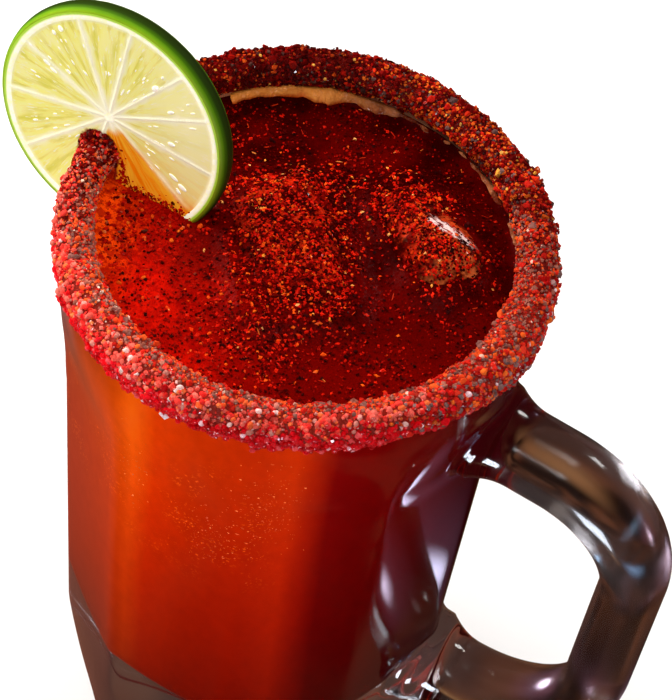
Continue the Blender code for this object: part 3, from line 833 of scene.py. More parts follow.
def liquid_top():
    """Wet sauce, dark and full of fine seasoning, and painted a clear orange that glows beside the
    lime, as painted light coming through.
    """
    recipe = Recipe("red_drink_top")
    place = recipe.place()
    x, y, _ = recipe.parts(place)
    side = to_right(x, y)
    front = to_front(x, y)
    cloud = recipe.noise(place, 80.0, 4.0, 0.6)
    # Where light comes through beside the lime, and brightest nearest it: painted light.
    lit = 1.0 - (side - front * 0.35 + (cloud - 0.5) * 0.035).between(-0.042, -0.008)
    glow = 1.0 - (side + front * 0.15 + (cloud - 0.5) * 0.022).between(-0.042, -0.029)
    dregs = recipe.noise(place, 420.0, 4.0, 0.7)
    powder = recipe.noise(place, 1700.0, 2.0, 0.7)
    flecks = 1.0 - recipe.cells(place, 1100.0).between(0.12, 0.20)
    deep = recipe.layered(
        (0.022, 0.0, 0.0),
        (cloud.between(0.36, 0.64), (0.085, 0.0002, 0.0)),
        (front.between(-0.010, 0.036) * 0.8, (0.14, 0.0005, 0.0)),
    )
    bright = recipe.layered(
        (0.50, 0.003, 0.0),
        (glow, (0.90, 0.065, 0.001)),
        (dregs.between(0.44, 0.56) * 0.8, (0.30, 0.001, 0.0)),
    )
    colour = recipe.layered(
        deep,
        (lit, bright),
        (powder.between(0.55, 0.66) * 0.55, (0.030, 0.0, 0.0)),
        (flecks * 0.5, (0.42, 0.006, 0.001)),
    )
    return recipe.finish(
        colour, 0.16 + powder * 0.16, specular=0.03, glow=0.45,
        glow_colour=recipe.multiply(1.0, colour, recipe.mix(lit, BLACK, WHITE)),
        relief=(powder * 0.25 + dregs, 0.45, 0.0007),
    )


def ice_gap(x, y):
    """How far a place on the drink lies outside the nearest ice. Over ice it is negative."""
    least = 1.0
    for block in ICE.values():
        turn = Matrix.Rotation(math.radians(-block.turn), 2)
        local = turn @ (Vector((x, y)) - Vector(block.centre))
        past_x = abs(local.x) - block.half[0] + ICE_ROUND
        past_y = abs(local.y) - block.half[1] + ICE_ROUND
        outside = Vector((max(past_x, 0.0), max(past_y, 0.0))).length
        outside += min(max(past_x, past_y), 0.0)
        least = min(least, outside - ICE_ROUND)
    return least


def surface_height(x, y):
    """The drink's top: gently uneven, drawn up a little at the wall and well up against the ice."""
    swell = 0.0004 * ripple(x, y, 0.3, 90.0) + 0.00015 * ripple(x, y, 0.7, 330.0)
    edge = 0.0006 * max(0.0, (math.hypot(x, y) - DRINK_EDGE) / 0.0025) ** 2
    climb = clamp(1.0 - (ice_gap(x, y) + 0.0004) / 0.0055)
    return LEVEL + swell + edge + 0.0020 * climb * climb


def make_drink():
    """Everything liquid. Its sides reach just into the glass, so no air shows between them."""
    bm = bmesh.new()
    floor = FLOOR - INTO_WALL
    side = inner_radius(FLOOR + FLOOR_ROUND) + INTO_WALL
    low_arc = arc((side - FLOOR_ROUND, floor + FLOOR_ROUND), FLOOR_ROUND, -90, 0, 10)
    edge = (inner_radius(LEVEL) + INTO_WALL, LEVEL)
    outline = stretch((0.0, floor), low_arc[0], 0.006) + low_arc[:-1]
    outline += stretch(low_arc[-1], edge, 0.004) + stretch(edge, (0.0, LEVEL), 0.0007)
    outline.append((0.0, LEVEL))
    turn_outline(bm, outline, DRINK_STEPS)
    for vert in bm.verts:
        if vert.co.z > LEVEL - 1e-5:
            vert.co.z = surface_height(vert.co.x, vert.co.y)
    drink = add_piece(
        "drink_liquid", bm, liquid_body(), replaces=("drink",), sharp=CUT_SHARP,
    )
    drink.data.materials.append(liquid_top())
    for face in drink.data.polygons:
        if face.center.z > LEVEL - 0.0006 and face.normal.z > 0.5:
            face.material_index = 1
    return drink


def sauced_ice(name):
    """Melting ice under wet red grit, thin and painted a lit orange on the wet crest by the handle,
    where a pale streaky band is frosted ice and a painted highlight.
    """
    recipe = Recipe(name)
    place = recipe.place()
    z = recipe.parts(place)[2]
    cloud = recipe.noise(place, 150.0, 4.0, 0.65)
    grit = recipe.noise(place, 900.0, 3.0, 0.7)
    thin = recipe.noise(place, 260.0, 3.0, 0.7)
    blur = (cloud - 0.5) * 0.010
    high = (z + (cloud - 0.5) * 0.002).between(0.1515, 0.1545)
    wet = 1.0 - (recipe.distance(place, CREST) + blur).between(0.0060, 0.0100)
    bare = 1.0 - (recipe.distance(place, BARE_ICE) + blur).between(0.0035, 0.0090)
    centred = recipe.mapped(place, (-CREST[0], -CREST[1], 0.0))
    along = recipe.mapped(centred, turn=FROST_GLINT_TURN, scale=(1 / FROST_GLINT_HALF[0], 1 / FROST_GLINT_HALF[1], 0))
    u, v, _ = recipe.parts(along)
    frost_and_highlight = 1.0 - (u * u + v * v + (thin - 0.5) * 2.2).between(0.25, 0.85)
    drawn_out = recipe.mapped(place, turn=FROST_GLINT_TURN, scale=(0.35, 1.0, 1.0))
    streaks = recipe.noise(drawn_out, 1500.0, 3.0, 0.6)
    colour = recipe.layered(
        (0.030, 0.0001, 0.0),
        (cloud.between(0.36, 0.64), (0.18, 0.0014, 0.0002)),
        (thin.between(0.48, 0.60) * high * 0.8, (0.58, 0.020, 0.003)),
        (bare * thin.between(0.38, 0.58) * 0.8, (0.62, 0.13, 0.030)),
        # Orange on the wet crest, where light falls on it: painted light.
        (wet * thin.between(0.42, 0.60) * 0.6, (0.62, 0.075, 0.014)),
        (grit.between(0.56, 0.66) * 0.6, (0.025, 0.0, 0.0)),
        # A pale streaky band along the crest, frosted ice and a painted highlight.
        (frost_and_highlight * streaks.between(0.42, 0.54), (0.86, 0.60, 0.56)),
    )
    height = grit * 0.6 + recipe.noise(place, 340.0, 4.0, 0.65)
    return recipe.finish(colour, 0.14 + grit * 0.12, specular=0.03, coat=wet,
                         relief=(height, 0.6, 0.0009))


def make_ice(name):
    """One melting block: well rounded, with hollows melted into its top, where it stands out."""
    block = ICE[name]
    half_length, half_width = block.half
    place = Matrix.Translation((*block.centre, LEVEL + block.lift - ICE_HEIGHT / 2))
    place = place @ Matrix.Rotation(math.radians(block.turn), 4, "Z")
    place = place @ Matrix.Rotation(math.radians(block.tilt), 4, "Y")
    bm = bmesh.new()
    size = Matrix.Diagonal((2 * half_length, 2 * half_width, ICE_HEIGHT, 1))
    bmesh.ops.create_cube(bm, size=1.0, matrix=size)
    bmesh.ops.bevel(
        bm, geom=bm.edges[:], offset=ICE_ROUND, offset_type="OFFSET", segments=5, profile=0.5,
        affect="EDGES", material=-1, clamp_overlap=True,
    )
    bmesh.ops.subdivide_edges(bm, edges=bm.edges[:], cuts=3, use_grid_fill=True)
    bmesh.ops.subdivide_edges(bm, edges=bm.edges[:], cuts=1, use_grid_fill=True)
    for vert in bm.verts:
        p = vert.co
        away = p.normalized()
        melt = 0.0014 * noise.noise(p * 95.0 + Vector((block.turn, 0, 0)))
        melt += 0.0006 * noise.noise(p * 300.0)
        slump = 0.0016 * (p.x / half_length) ** 2 + 0.0010 * (p.y / half_width) ** 2
        vert.co = p + away * (melt - 0.0003)
        vert.co.z -= max(0.0, p.z / ICE_HEIGHT * 2) * (slump - 0.0006)
    bmesh.ops.smooth_vert(
        bm, verts=bm.verts, factor=0.5, use_axis_x=True, use_axis_y=True, use_axis_z=True,
    )
    bmesh.ops.transform(bm, matrix=place, verts=bm.verts)
    finish = sauced_ice(f"sauced_{name}")
    return add_piece(f"{name}_block", bm, finish, replaces=(name,))


def tan_foam():
    """Collapsed froth: pale where it is thick, on the lime's side, and a brown film beyond."""
    recipe = Recipe("tan_foam")
    place = recipe.place()
    x, _, z = recipe.parts(place)
    froth = recipe.cells(place, 1500.0)
    cloud = recipe.noise(place, 260.0, 3.0, 0.6)
    thick = 1.0 - (x + (cloud - 0.5) * 0.016).between(-0.020, -0.004)
    high = (z + (cloud - 0.5) * 0.0014).between(0.1500, 0.1511)
    pale = recipe.mix(high, (0.62, 0.055, 0.003), (0.93, 0.34, 0.065))
    film = recipe.mix(cloud.between(0.38, 0.66), (0.15, 0.018, 0.005), (0.52, 0.17, 0.06))
    shade = recipe.ramp(froth, [(0.0, WHITE), (0.5, (0.78, 0.6, 0.5))])
    colour = recipe.multiply(0.4, recipe.mix(thick, film, pale), shade)
    return recipe.finish(colour, 0.22, specular=0.2, coat=0.4, relief=(froth, 0.4, 0.0005))


def make_foam():
    """Froth on the wall round the back, fullest towards the lime, ragged at its edges."""
    bm = bmesh.new()
    low = LEVEL - 0.0004
    outside = inner_radius(low) + INTO_WALL
    outline = [(outside - inwards, low + up) for inwards, up in FOAM_SECTION]
    turn_outline(bm, outline, FOAM_STEPS, closed=True, start=FOAM_START, sweep=FOAM_SWEEP)
    for vert in bm.verts:
        angle = angle_of(vert.co)
        grown = (angle - FOAM_GROWS[0]) / FOAM_GROWS[1]
        left = (FOAM_ENDS[0] - angle) / FOAM_ENDS[1]
        fullness = FOAM_LEAST + FOAM_MORE * clamp(min(grown, left))
        r = math.hypot(vert.co.x, vert.co.y)
        share = clamp((outside - r) / FOAM_DEPTH)
        ragged = 1.0 + 0.9 * noise.noise(vert.co * 170.0) + 0.6 * noise.noise(vert.co * 410.0)
        vert.co.z = low + (vert.co.z - low) * fullness * (1.0 + 0.5 * (ragged - 1.0))
        set_radius(vert, r + share * FOAM_DEPTH * (1.0 - fullness * ragged) * 0.85)
    add_piece("foam_ring", bm, tan_foam(), replaces=("foam_collar",))


# Seasoning


def crust_hang(angle):
    """How far the seasoning reaches down the outside, by the angle round the rim in degrees."""
    first = CRUST_HANGS[0][0]
    angle = (angle - first) % 360 + first
    around = Vector((math.cos(math.radians(angle)), math.sin(math.radians(angle)), 0.0))
    ragged = 0.14 * noise.noise(around * 7.0) + 0.12 * noise.noise(around * 60.0)
    drips = 0.0016 * max(-0.3, noise.noise(around * 19.0)) + 0.0008 * noise.noise(around * 44.0)
    for (before, low), (after, high) in zip(CRUST_HANGS, CRUST_HANGS[1:]):
        if angle <= after:
            break
    share = clamp((angle - before) / (after - before))
    return (low + (high - low) * ease(share)) * (1.0 + ragged) + drips


def over_rim(at):
    """A point of the rim's surface and its normal, at a length from the seasoning's inside edge."""
    radius = RIM_WALL / 2
    mid = (RIM_RADIUS - radius, HEIGHT - radius)
    if at < CRUST_DEPTH_INSIDE:
        return (mid[0] - radius, mid[1] - CRUST_DEPTH_INSIDE + at), (-1.0, 0.0)
    at -= CRUST_DEPTH_INSIDE
    if at < math.pi * radius:
        angle = math.pi - at / radius
        normal = (math.cos(angle), math.sin(angle))
        return (mid[0] + radius * normal[0], mid[1] + radius * normal[1]), normal
    return (mid[0] + radius, mid[1] - (at - math.pi * radius)), (1.0, 0.0)


def crust_point(angle, share, out):
    """A point over the rim: round it by angle, across it by share, and out from the glass."""
    length = CRUST_DEPTH_INSIDE + math.pi * RIM_WALL / 2 + crust_hang(angle)
    (r, z), (nr, nz) = over_rim(share * length)
    turn = Matrix.Rotation(math.radians(angle), 3, "Z")
    return turn @ Vector((r + nr * out, 0, z + nz * out)), turn @ Vector((nr, 0, nz))


def crust_bed_height(angle, share):
    """Thickness of the seasoning's body: lumpy all round, and thinner on the lime's side."""
    away = turn_between(angle, THIN_CRUST_ANGLE)
    thin = THIN_CRUST + (1.0 - THIN_CRUST) * min(1.0, away / THIN_CRUST_SPREAD)
    spot = Vector((math.radians(angle) * RIM_RADIUS, share * 0.020, 0.0))
    lump = 0.42 * noise.noise(spot * 330.0) + 0.40 * noise.noise(spot * 700.0)
    share = clamp(share)
    body = CRUST_INSIDE + (CRUST_OUTSIDE - CRUST_INSIDE) * share
    return body * (0.25 + 0.75 * min(1.0, share * 6, (1 - share) * 4)) * thin * (0.74 + lump)


def seasoning_bed():
    """Packed seasoning: darkened behind as painted shade, warmer in front, and wet and crimson low
    down outside.
    """
    recipe = Recipe("seasoning_bed")
    place = recipe.place()
    x, y, z = recipe.parts(place)
    front = to_front(x, y) + (recipe.noise(place, 60.0, 2.0) - 0.5) * 0.03
    back = 1.0 - front.between(-0.050, 0.010)
    near = front.between(-0.012, 0.030)
    wet = 1.0 - (z + (recipe.noise(place, 260.0, 2.0) - 0.5) * 0.003).between(0.1520, 0.1565)
    grit = recipe.noise(place, 700.0, 3.0, 0.7)
    colour = recipe.layered(
        (0.06, 0.001, 0.001),
        (grit.between(0.4, 0.6), (0.22, 0.005, 0.002)),
        (near * 0.6, (0.42, 0.030, 0.016)),
        (wet * near * 0.9, (0.66, 0.008, 0.008)),
    )
    # Darker behind: painted shade.
    colour = recipe.multiply(back * 0.6, colour, (0.45, 0.35, 0.35))
    return recipe.finish(colour, 0.4, specular=0.08, relief=(grit, 0.8, 0.0012))


def seasoning_grains(name, roughness, strength):
    """Grains that each have a tint of their own. Those marked shine have a wet, bright coat. They
    glow faintly, as painted light.
    """
    recipe = Recipe(name)
    fine = recipe.noise(recipe.place(), 2600.0, 2.0, 0.6)
    shade = recipe.ramp(fine, [(0.3, (0.6, 0.5, 0.5)), (0.65, WHITE)])
    colour = recipe.multiply(0.6, recipe.attribute("tint", "Color"), shade)
    return recipe.finish(colour, roughness, specular=0.04, coat=recipe.attribute("shine"),
                         glow=0.12, relief=(fine, strength, 0.0004))


def pick(rng, tints):
    """One of the tints by its weight, somewhere between its two colours."""
    roll = rng.uniform(0.0, sum(weight for weight, _, _ in tints))
    for weight, first, second in tints:
        roll -= weight
        if roll <= 0.0:
            break
    share = rng.random()
    return tuple(a + (b - a) * share for a, b in zip(first, second))


def picking(tints):
    """A tint rule for scatter that picks freely from these."""
    return lambda rng, place, share: pick(rng, tints)


def seasoning_tint(rng, place, share):
    """A grain's tint by where it lies: maroon behind, made darker there as painted shade, orange
    and smoky to the right, pink and crimson in front, and lighter towards the left as painted
    light."""
    side = to_right(place.x, place.y) + rng.gauss(0, 0.005)
    front = to_front(place.x, place.y) + rng.gauss(0, 0.006)
    share += rng.gauss(0, 0.05) + 0.10 * noise.noise(place * 220.0)
    patch = noise.noise(place * 190.0)
    if front < -0.010:
        tints = BACK_RIGHT_TINTS if side > 0.010 else SHADED_BACK_TINTS
        # Darker behind: painted shade.
        shade = 0.75 + 0.6 * max(-0.5, patch)
    elif share < 0.46:
        tints = TOP_TINTS
        shade = 1.0 + 0.3 * patch
    elif side > 0.026:
        tints = RIGHT_TINTS
        shade = 1.0 + 0.4 * patch
    elif share < 0.67:
        tints = BEAD_TINTS
        shade = 1.0 + 0.25 * patch
    else:
        tints = EDGE_TINTS
        shade = 1.0
    # Lighter towards the left, where the light comes from: painted light.
    shade *= 1.0 + 0.45 * clamp((-side - 0.012) / 0.02)
    return tuple(min(0.95, channel * shade) for channel in pick(rng, tints))


def make_crust_bed():
    """The seasoning's body over the rim, uneven all round, on which the grains sit."""

    def inside_and_share(i):
        """Whether place i of the section is on the glass, and its share of the way across."""
        inside = i < CRUST_PLACES
        return inside, (i if inside else 2 * CRUST_PLACES - 1 - i) / (CRUST_PLACES - 1)

    bm = bmesh.new()
    layer = bm.verts.layers.int.new("across")
    ring = []
    for i in range(2 * CRUST_PLACES):
        inside, share = inside_and_share(i)
        vert = bm.verts.new(crust_point(0.0, share, CRUST_OFF_GLASS if inside else 0.0015)[0])
        vert[layer] = i
        ring.append(vert)
    edges = [bm.edges.new((ring[i - 1], ring[i])) for i in range(len(ring))]
    bmesh.ops.spin(
        bm, geom=ring + edges, axis=(0, 0, 1), cent=(0, 0, 0), angle=math.tau, steps=CRUST_STEPS,
        use_merge=True, use_duplicate=False,
    )
    bmesh.ops.remove_doubles(bm, verts=bm.verts, dist=1e-6)
    for vert in bm.verts:
        angle = angle_of(vert.co)
        inside, share = inside_and_share(vert[layer])
        thick = 0.0 if inside else max(crust_bed_height(angle, share), CRUST_LEAST)
        vert.co, _ = crust_point(angle, share, CRUST_OFF_GLASS + thick)
    add_piece("seasoning_bed", bm, seasoning_bed(), replaces=("rim_crust",))


def bead(bm):
    bmesh.ops.create_icosphere(bm, subdivisions=2, radius=1.0)


def crystal(bm):
    bmesh.ops.create_icosphere(bm, subdivisions=1, radius=1.0)


def chip(bm):
    bmesh.ops.create_cube(bm, size=1.7)


def shard(bm):
    bmesh.ops.create_cone(bm, cap_ends=True, segments=4, radius1=1.0, radius2=0.45, depth=1.2)


def scatter(name, spots, shape, finish, rng, tint, shine=0.0, sharp=GRAIN_SHARP):
    """One piece of many small copies of a shape. A spot is (place, normal, size, flatness, length,
    share)."""
    bm = bmesh.new()
    shape(bm)
    bmesh.ops.recalc_face_normals(bm, faces=bm.faces)
    corners = np.array([vert.co[:] for vert in bm.verts])
    faces = [[vert.index for vert in face.verts] for face in bm.faces]
    bm.free()
    unevenness = 0.07 if shape is bead else 0.17
    chaos = np.random.default_rng(rng.randrange(2**31))
    points = []
    tints = []
    shines = []
    for place, normal, size, flatness, length, share in spots:
        turn = normal.to_track_quat("Z", "Y").to_matrix()
        turn = turn @ Matrix.Rotation(rng.uniform(0, math.tau), 3, "Z")
        turn = turn @ Matrix.Rotation(rng.gauss(0, 0.35), 3, "X")
        scale = np.array((size * length, size, size * flatness))
        shift = chaos.normal(0.0, unevenness, corners.shape)
        points.append(((corners + shift) * scale) @ np.array(turn).T + np.array(place))
        tints.append(np.tile((*tint(rng, place, share), 1.0), (len(corners), 1)))
        shines.append(np.full(len(corners), float(rng.random() < shine)))
    firsts = range(0, len(spots) * len(corners), len(corners))
    copies = [[first + index for index in face] for first in firsts for face in faces]
    mesh = bpy.data.meshes.new(name)
    mesh.from_pydata(np.concatenate(points), [], copies)
    layer = mesh.attributes.new("tint", "FLOAT_COLOR", "POINT")
    layer.data.foreach_set("color", np.concatenate(tints).ravel())
    layer = mesh.attributes.new("shine", "FLOAT", "POINT")
    layer.data.foreach_set("value", np.concatenate(shines))
    mesh.shade_smooth()
    if sharp:
        mesh.set_sharp_from_angle(angle=math.radians(sharp))
    place_piece(name, mesh, finish)


def near_lime(spot, margin):
    """Whether a spot lies in the slice or within this margin of it."""
    local = lime_place().inverted() @ Vector(spot)
    return abs(local.z) < LIME_THICKNESS / 2 + margin and local.xy.length < LIME_RADIUS + margin


def heaped_spots(count, rng):
    """Spots in the slit's crown, where seasoning is heaped between rim and slice, on both faces."""
    outline = slit_outline()[1:-1]
    middle = sum(outline, Vector((0.0, 0.0))) / len(outline)
    place = lime_place()
    spots = []
    while len(spots) < count:
        i = rng.randrange(len(outline) - 1)
        point = outline[i].lerp(outline[i + 1], rng.random())
        point = point.lerp(middle, rng.uniform(-0.10, 0.30))
        point.y -= rng.uniform(0.0, 0.003) if rng.random() < 0.4 else 0.0
        size = rng.uniform(0.00028, 0.00050)
        face = rng.choice((-1.0, 1.0, 1.0))
        depth = LIME_THICKNESS / 2 + rng.uniform(-0.0008, 0.0003)
        spot = place @ Vector((point.x, point.y, face * depth))
        normal = place.to_3x3() @ Vector((0.0, 0.3, face)).normalized()
        shape = (rng.uniform(0.7, 1.0), rng.uniform(0.85, 1.3), rng.uniform(0.2, 0.6))
        spots.append((spot, normal, size, *shape))
    return spots


def crust_spots(count, sizes, flat, rng, shares=(0.0, 1.0), sink=0.35, wanted=None):
    """Spots on the seasoning's body, sunk into it by a share of their height."""
    spots = []
    while len(spots) < count:
        angle = rng.uniform(-180.0, 180.0)
        share = rng.uniform(*shares)
        around = math.radians(angle)
        hanging = 1.0 + 0.09 * noise.noise(Vector((around * 7.0, 0.0, 0.0)))
        hanging += 0.05 * noise.noise(Vector((around * 24.0, 3.0, 0.0)))
        share = share * hanging if share > 0.5 else share
        size = rng.uniform(*sizes) * rng.choice((0.7, 0.85, 1.0, 1.0, 1.15))
        bed = crust_bed_height(angle, share) if share < 1.0 else 0.0
        place, normal = crust_point(angle, share, bed + size * flat[0] * (1 - sink))
        if wanted is not None and rng.random() > wanted(place, share):
            continue
        if near_lime(place, 0.0001 + size * 0.5):
            continue
        spots.append((place, normal, size, rng.uniform(*flat), rng.uniform(0.85, 1.35), share))
    return spots


def make_grains():
    """The seasoning's grains: faceted where the rim is crisp, and wet round beads low in front."""
    rng = random.Random(3)

    def crisp(place, share):
        return 1.0 if to_front(place.x, place.y) < 0.0 or share < 0.45 else 0.45

    def soft(place, share):
        return clamp(to_front(place.x, place.y) / 0.014) * (1.0 if share > 0.45 else 0.25)

    def strew(name, spots, shape, finish, shine, sharp=GRAIN_SHARP):
        scatter(name, spots, shape, finish, rng, seasoning_tint, shine, sharp)

    facets = seasoning_grains("seasoning_facets", 0.45, 0.4)
    beads = seasoning_grains("seasoning_beads", 0.35, 0.15)
    spots = crust_spots(9100, (0.00024, 0.00042), (0.7, 1.0), rng, wanted=crisp)
    spots += heaped_spots(480, rng)
    strew("seasoning_grains", spots, crystal, facets, 0.12)
    spots = crust_spots(560, (0.00044, 0.00080), (0.75, 1.0), rng, (0.12, 0.97), 0.40)
    strew("seasoning_lumps", spots, crystal, facets, 0.10)
    spots = crust_spots(2400, (0.00030, 0.00060), (0.8, 1.0), rng, (0.30, 1.03), 0.4, soft)
    strew("seasoning_beads", spots, bead, beads, 0.35, None)
    spots = crust_spots(2600, (0.00026, 0.00048), (0.25, 0.45), rng, (0.05, 0.92), -0.2)
    strew("seasoning_chips", spots, shard, facets, 0.2)
    spots = crust_spots(13500, (0.00012, 0.00024), (0.8, 1.0), rng, (0.0, 1.0), 0.1, crisp)
    strew("seasoning_fines", spots, chip, facets, 0.16)


# Lime


def lime_place():
    """Stands the flat slice upright in the plane of the rim's radius, leaning back a little."""
    return Matrix.Translation(LIME_CENTRE) @ Matrix.Rotation(math.radians(90) - LIME_TILT, 4, "X")


def lime_flesh():
    """Cut flesh: clear yellow green juice between pale membranes, and amber with sauce low down. It
    is paler towards the middle of the mug and glows faintly, both painted light.
    """
    recipe = Recipe("lime_flesh")
    turn, reach, edge, slit = (recipe.attribute(name) for name in ("turn", "reach", "edge", "slit"))
    place = recipe.place()
    x, _, z = recipe.parts(place)
    blur = (recipe.noise(place, 200.0, 3.0) - 0.5) * 0.6
    blurred_turn = turn + blur * 0.4
    streak = recipe.noise(recipe.vector(turn * 7.0, reach * 2.4), 1.0, 3.0, 0.55)
    pulp = recipe.cells(recipe.vector(turn * 8.0, reach * 5.0), 1.0, "SMOOTH_F1")
    bright = recipe.noise(recipe.vector(turn * 26.0, reach * 9.0, 4.0), 1.0, 3.0, 0.6)
    amber = blurred_turn.between(3.15, 3.50) * (reach + blur * 0.1).between(0.08, 0.18)
    low = (1.0 - (z + blur * 0.006).between(0.1520, 0.1565)) * turn.between(1.5, 2.6)
    amber = amber.math("MAXIMUM", low)
    syrup = recipe.mix(streak.between(0.35, 0.65), (0.82, 0.19, 0.0), (0.90, 0.42, 0.02))
    colour = recipe.layered(
        (0.66, 0.61, 0.07),
        (streak.between(0.30, 0.62), (0.83, 0.78, 0.20)),
        (pulp.between(0.30, 0.75) * 0.4, (0.90, 0.86, 0.45)),
        (bright.between(0.56, 0.70) * 0.7, (0.95, 0.94, 0.74)),
        ((1.0 - reach.between(0.03, 0.26)) * 0.60, (0.94, 0.92, 0.74)),
        # Paler towards the middle of the mug: painted light.
        (x.between(-0.042, -0.024) * 0.50, (0.98, 0.95, 0.62)),
        (blurred_turn.between(2.2, 3.3) * reach.between(0.10, 0.40) * 0.45, (0.86, 0.60, 0.08)),
        (amber, syrup),
        (edge * (1.0 - amber) * 0.80, (0.96, 0.95, 0.74)),
        (slit, SLIT_STAIN),
    )
    return recipe.finish(colour, 0.2 + streak * 0.15, specular=0.3, glow=0.28,
                         relief=(streak * 0.5 + pulp * 0.5, 0.15, 0.0005))


def lime_pith():
    recipe = Recipe("lime_pith")
    reach = recipe.attribute("reach")
    fibre = recipe.noise(recipe.place(), 900.0, 3.0, 0.6)
    green = (reach + (fibre - 0.5) * 0.010).between(0.928, 0.950)
    colour = recipe.layered(
        (0.90, 0.90, 0.56),
        (fibre.between(0.35, 0.65), (0.96, 0.96, 0.78)),
        (green, (0.34, 0.56, 0.02)),
        (recipe.attribute("slit"), SLIT_STAIN),
    )
    # The pith glows, as painted light.
    return recipe.finish(colour, 0.45, glow=0.42, relief=(fibre, 0.3, 0.0004))


def lime_peel():
    """Waxy peel: bright green at both cut faces and dark between them as painted shade, pitted by
    oil glands.
    """
    recipe = Recipe("lime_peel")
    place = recipe.place()
    glands = recipe.cells(place, 750.0, "SMOOTH_F1")
    depth = recipe.attribute("depth") + (recipe.noise(place, 110.0, 3.0) - 0.5) * 0.10
    # Dark between the cut faces: painted shade.
    colour = recipe.ramp(depth, [
        (0.00, (0.30, 0.50, 0.012)),
        (0.07, (0.16, 0.36, 0.005)),
        (0.20, (0.055, 0.15, 0.002)),
        (0.38, (0.018, 0.042, 0.002)),
        (0.80, (0.012, 0.020, 0.002)),
        (1.00, (0.10, 0.26, 0.005)),
    ])
    return recipe.finish(colour, 0.55, specular=0.08, relief=(glands, -0.5, 0.0006))


def pith_point(turn):
    """Where a line from the core meets the pith. Its angle grows from straight up to the mug."""
    angle = math.radians(90 - turn)
    way = Vector((math.cos(angle), math.sin(angle), 0.0))
    along = LIME_CORE.dot(way)
    reach = math.sqrt(along**2 + LIME_PITH**2 - LIME_CORE.length_squared) - along
    return LIME_CORE + way * reach


def lime_half(bm):
    """One cut face of the slice down to its middle: sunken flesh, flat membranes, pith and peel."""
    face_z = LIME_THICKNESS / 2
    up = Vector((0.0, 0.0, face_z))
    steps = 16
    core = bm.verts.new(LIME_CORE + up)
    ring = []
    turns = [*LIME_MEMBRANES, LIME_MEMBRANES[0] + 360]
    for start, end in zip(turns, turns[1:]):
        for i in range(steps):
            ring.append(bm.verts.new(pith_point(start + (end - start) * i / steps) + up))
    wedges = []
    for i in range(0, len(ring), steps):
        arc_points = [ring[(i + j) % len(ring)] for j in range(steps + 1)]
        wedges.append(bm.faces.new([core] + arc_points[::-1]))
    for thickness, depth in ((0.00045, 0.0), (0.00035, -0.00016)):
        bmesh.ops.inset_individual(
            bm, faces=wedges, thickness=thickness, depth=depth, use_even_offset=True,
        )
    rim = [edge for edge in bm.edges if edge.is_boundary]
    for radius, drop in LIME_EDGE:
        made = bmesh.ops.extrude_edge_only(bm, edges=rim)["geom"]
        rim = [item for item in made if isinstance(item, bmesh.types.BMEdge)]
        for vert in [item for item in made if isinstance(item, bmesh.types.BMVert)]:
            set_radius(vert, radius)
            vert.co.z = face_z - drop


def slit_outline():
    """The slit's edge in the flat slice's frame, from its mouth up over the rim and down again."""
    outside = RIM_RADIUS + SLIT_OUTSIDE
    inside = RIM_RADIUS - RIM_WALL - SLIT_INSIDE
    middle = (outside + inside) / 2 + LIME_CENTRE.x
    half = (outside - inside) / 2
    top = (HEIGHT + SLIT_TOP - LIME_CENTRE.z) / math.cos(LIME_TILT)
    crown = []
    for i in range(17):
        t = math.pi * i / 16
        crown.append(Vector((-middle + half * math.cos(t), top - half * 1.05 * (1 - math.sin(t)))))
    return [Vector((-middle + half, SLIT_BOTTOM))] + crown + [Vector((-middle - half, SLIT_BOTTOM))]


def slit_cutter():
    """The slit as a prism: as wide as the seasoned rim, round at its top, open below."""
    bm = bmesh.new()
    face = bm.faces.new([bm.verts.new((x, y, -SLIT_DEPTH / 2)) for x, y in slit_outline()])
    grown = bmesh.ops.extrude_face_region(bm, geom=[face])["geom"]
    raised = [item for item in grown if isinstance(item, bmesh.types.BMVert)]
    bmesh.ops.translate(bm, verts=raised, vec=(0, 0, SLIT_DEPTH))
    bmesh.ops.recalc_face_normals(bm, faces=bm.faces)
    return as_object("slit_cutter", as_mesh("slit_cutter", bm))


def slit_distance(point, outline):
    """How far a point of the flat slice lies from the slit's edge."""
    least = 1.0
    for start, end in zip(outline, outline[1:]):
        along = end - start
        share = clamp((point - start).dot(along) / along.length_squared)
        least = min(least, (point - start - along * share).length)
    return least


def divide_flesh(bm):
    """Divides the faces inside the pith finely enough for their relief and their marks."""
    bmesh.ops.triangulate(bm, faces=bm.faces)
    for _ in range(5):
        long = [edge for edge in bm.edges if edge.calc_length() > 0.0009
                and min(vert.co.xy.length for vert in edge.verts) < LIME_PITH]
        if not long:
            break
        bmesh.ops.subdivide_edges(bm, edges=long, cuts=1)
        bmesh.ops.triangulate(bm, faces=bm.faces)
    bmesh.ops.beautify_fill(bm, faces=bm.faces, edges=bm.edges)


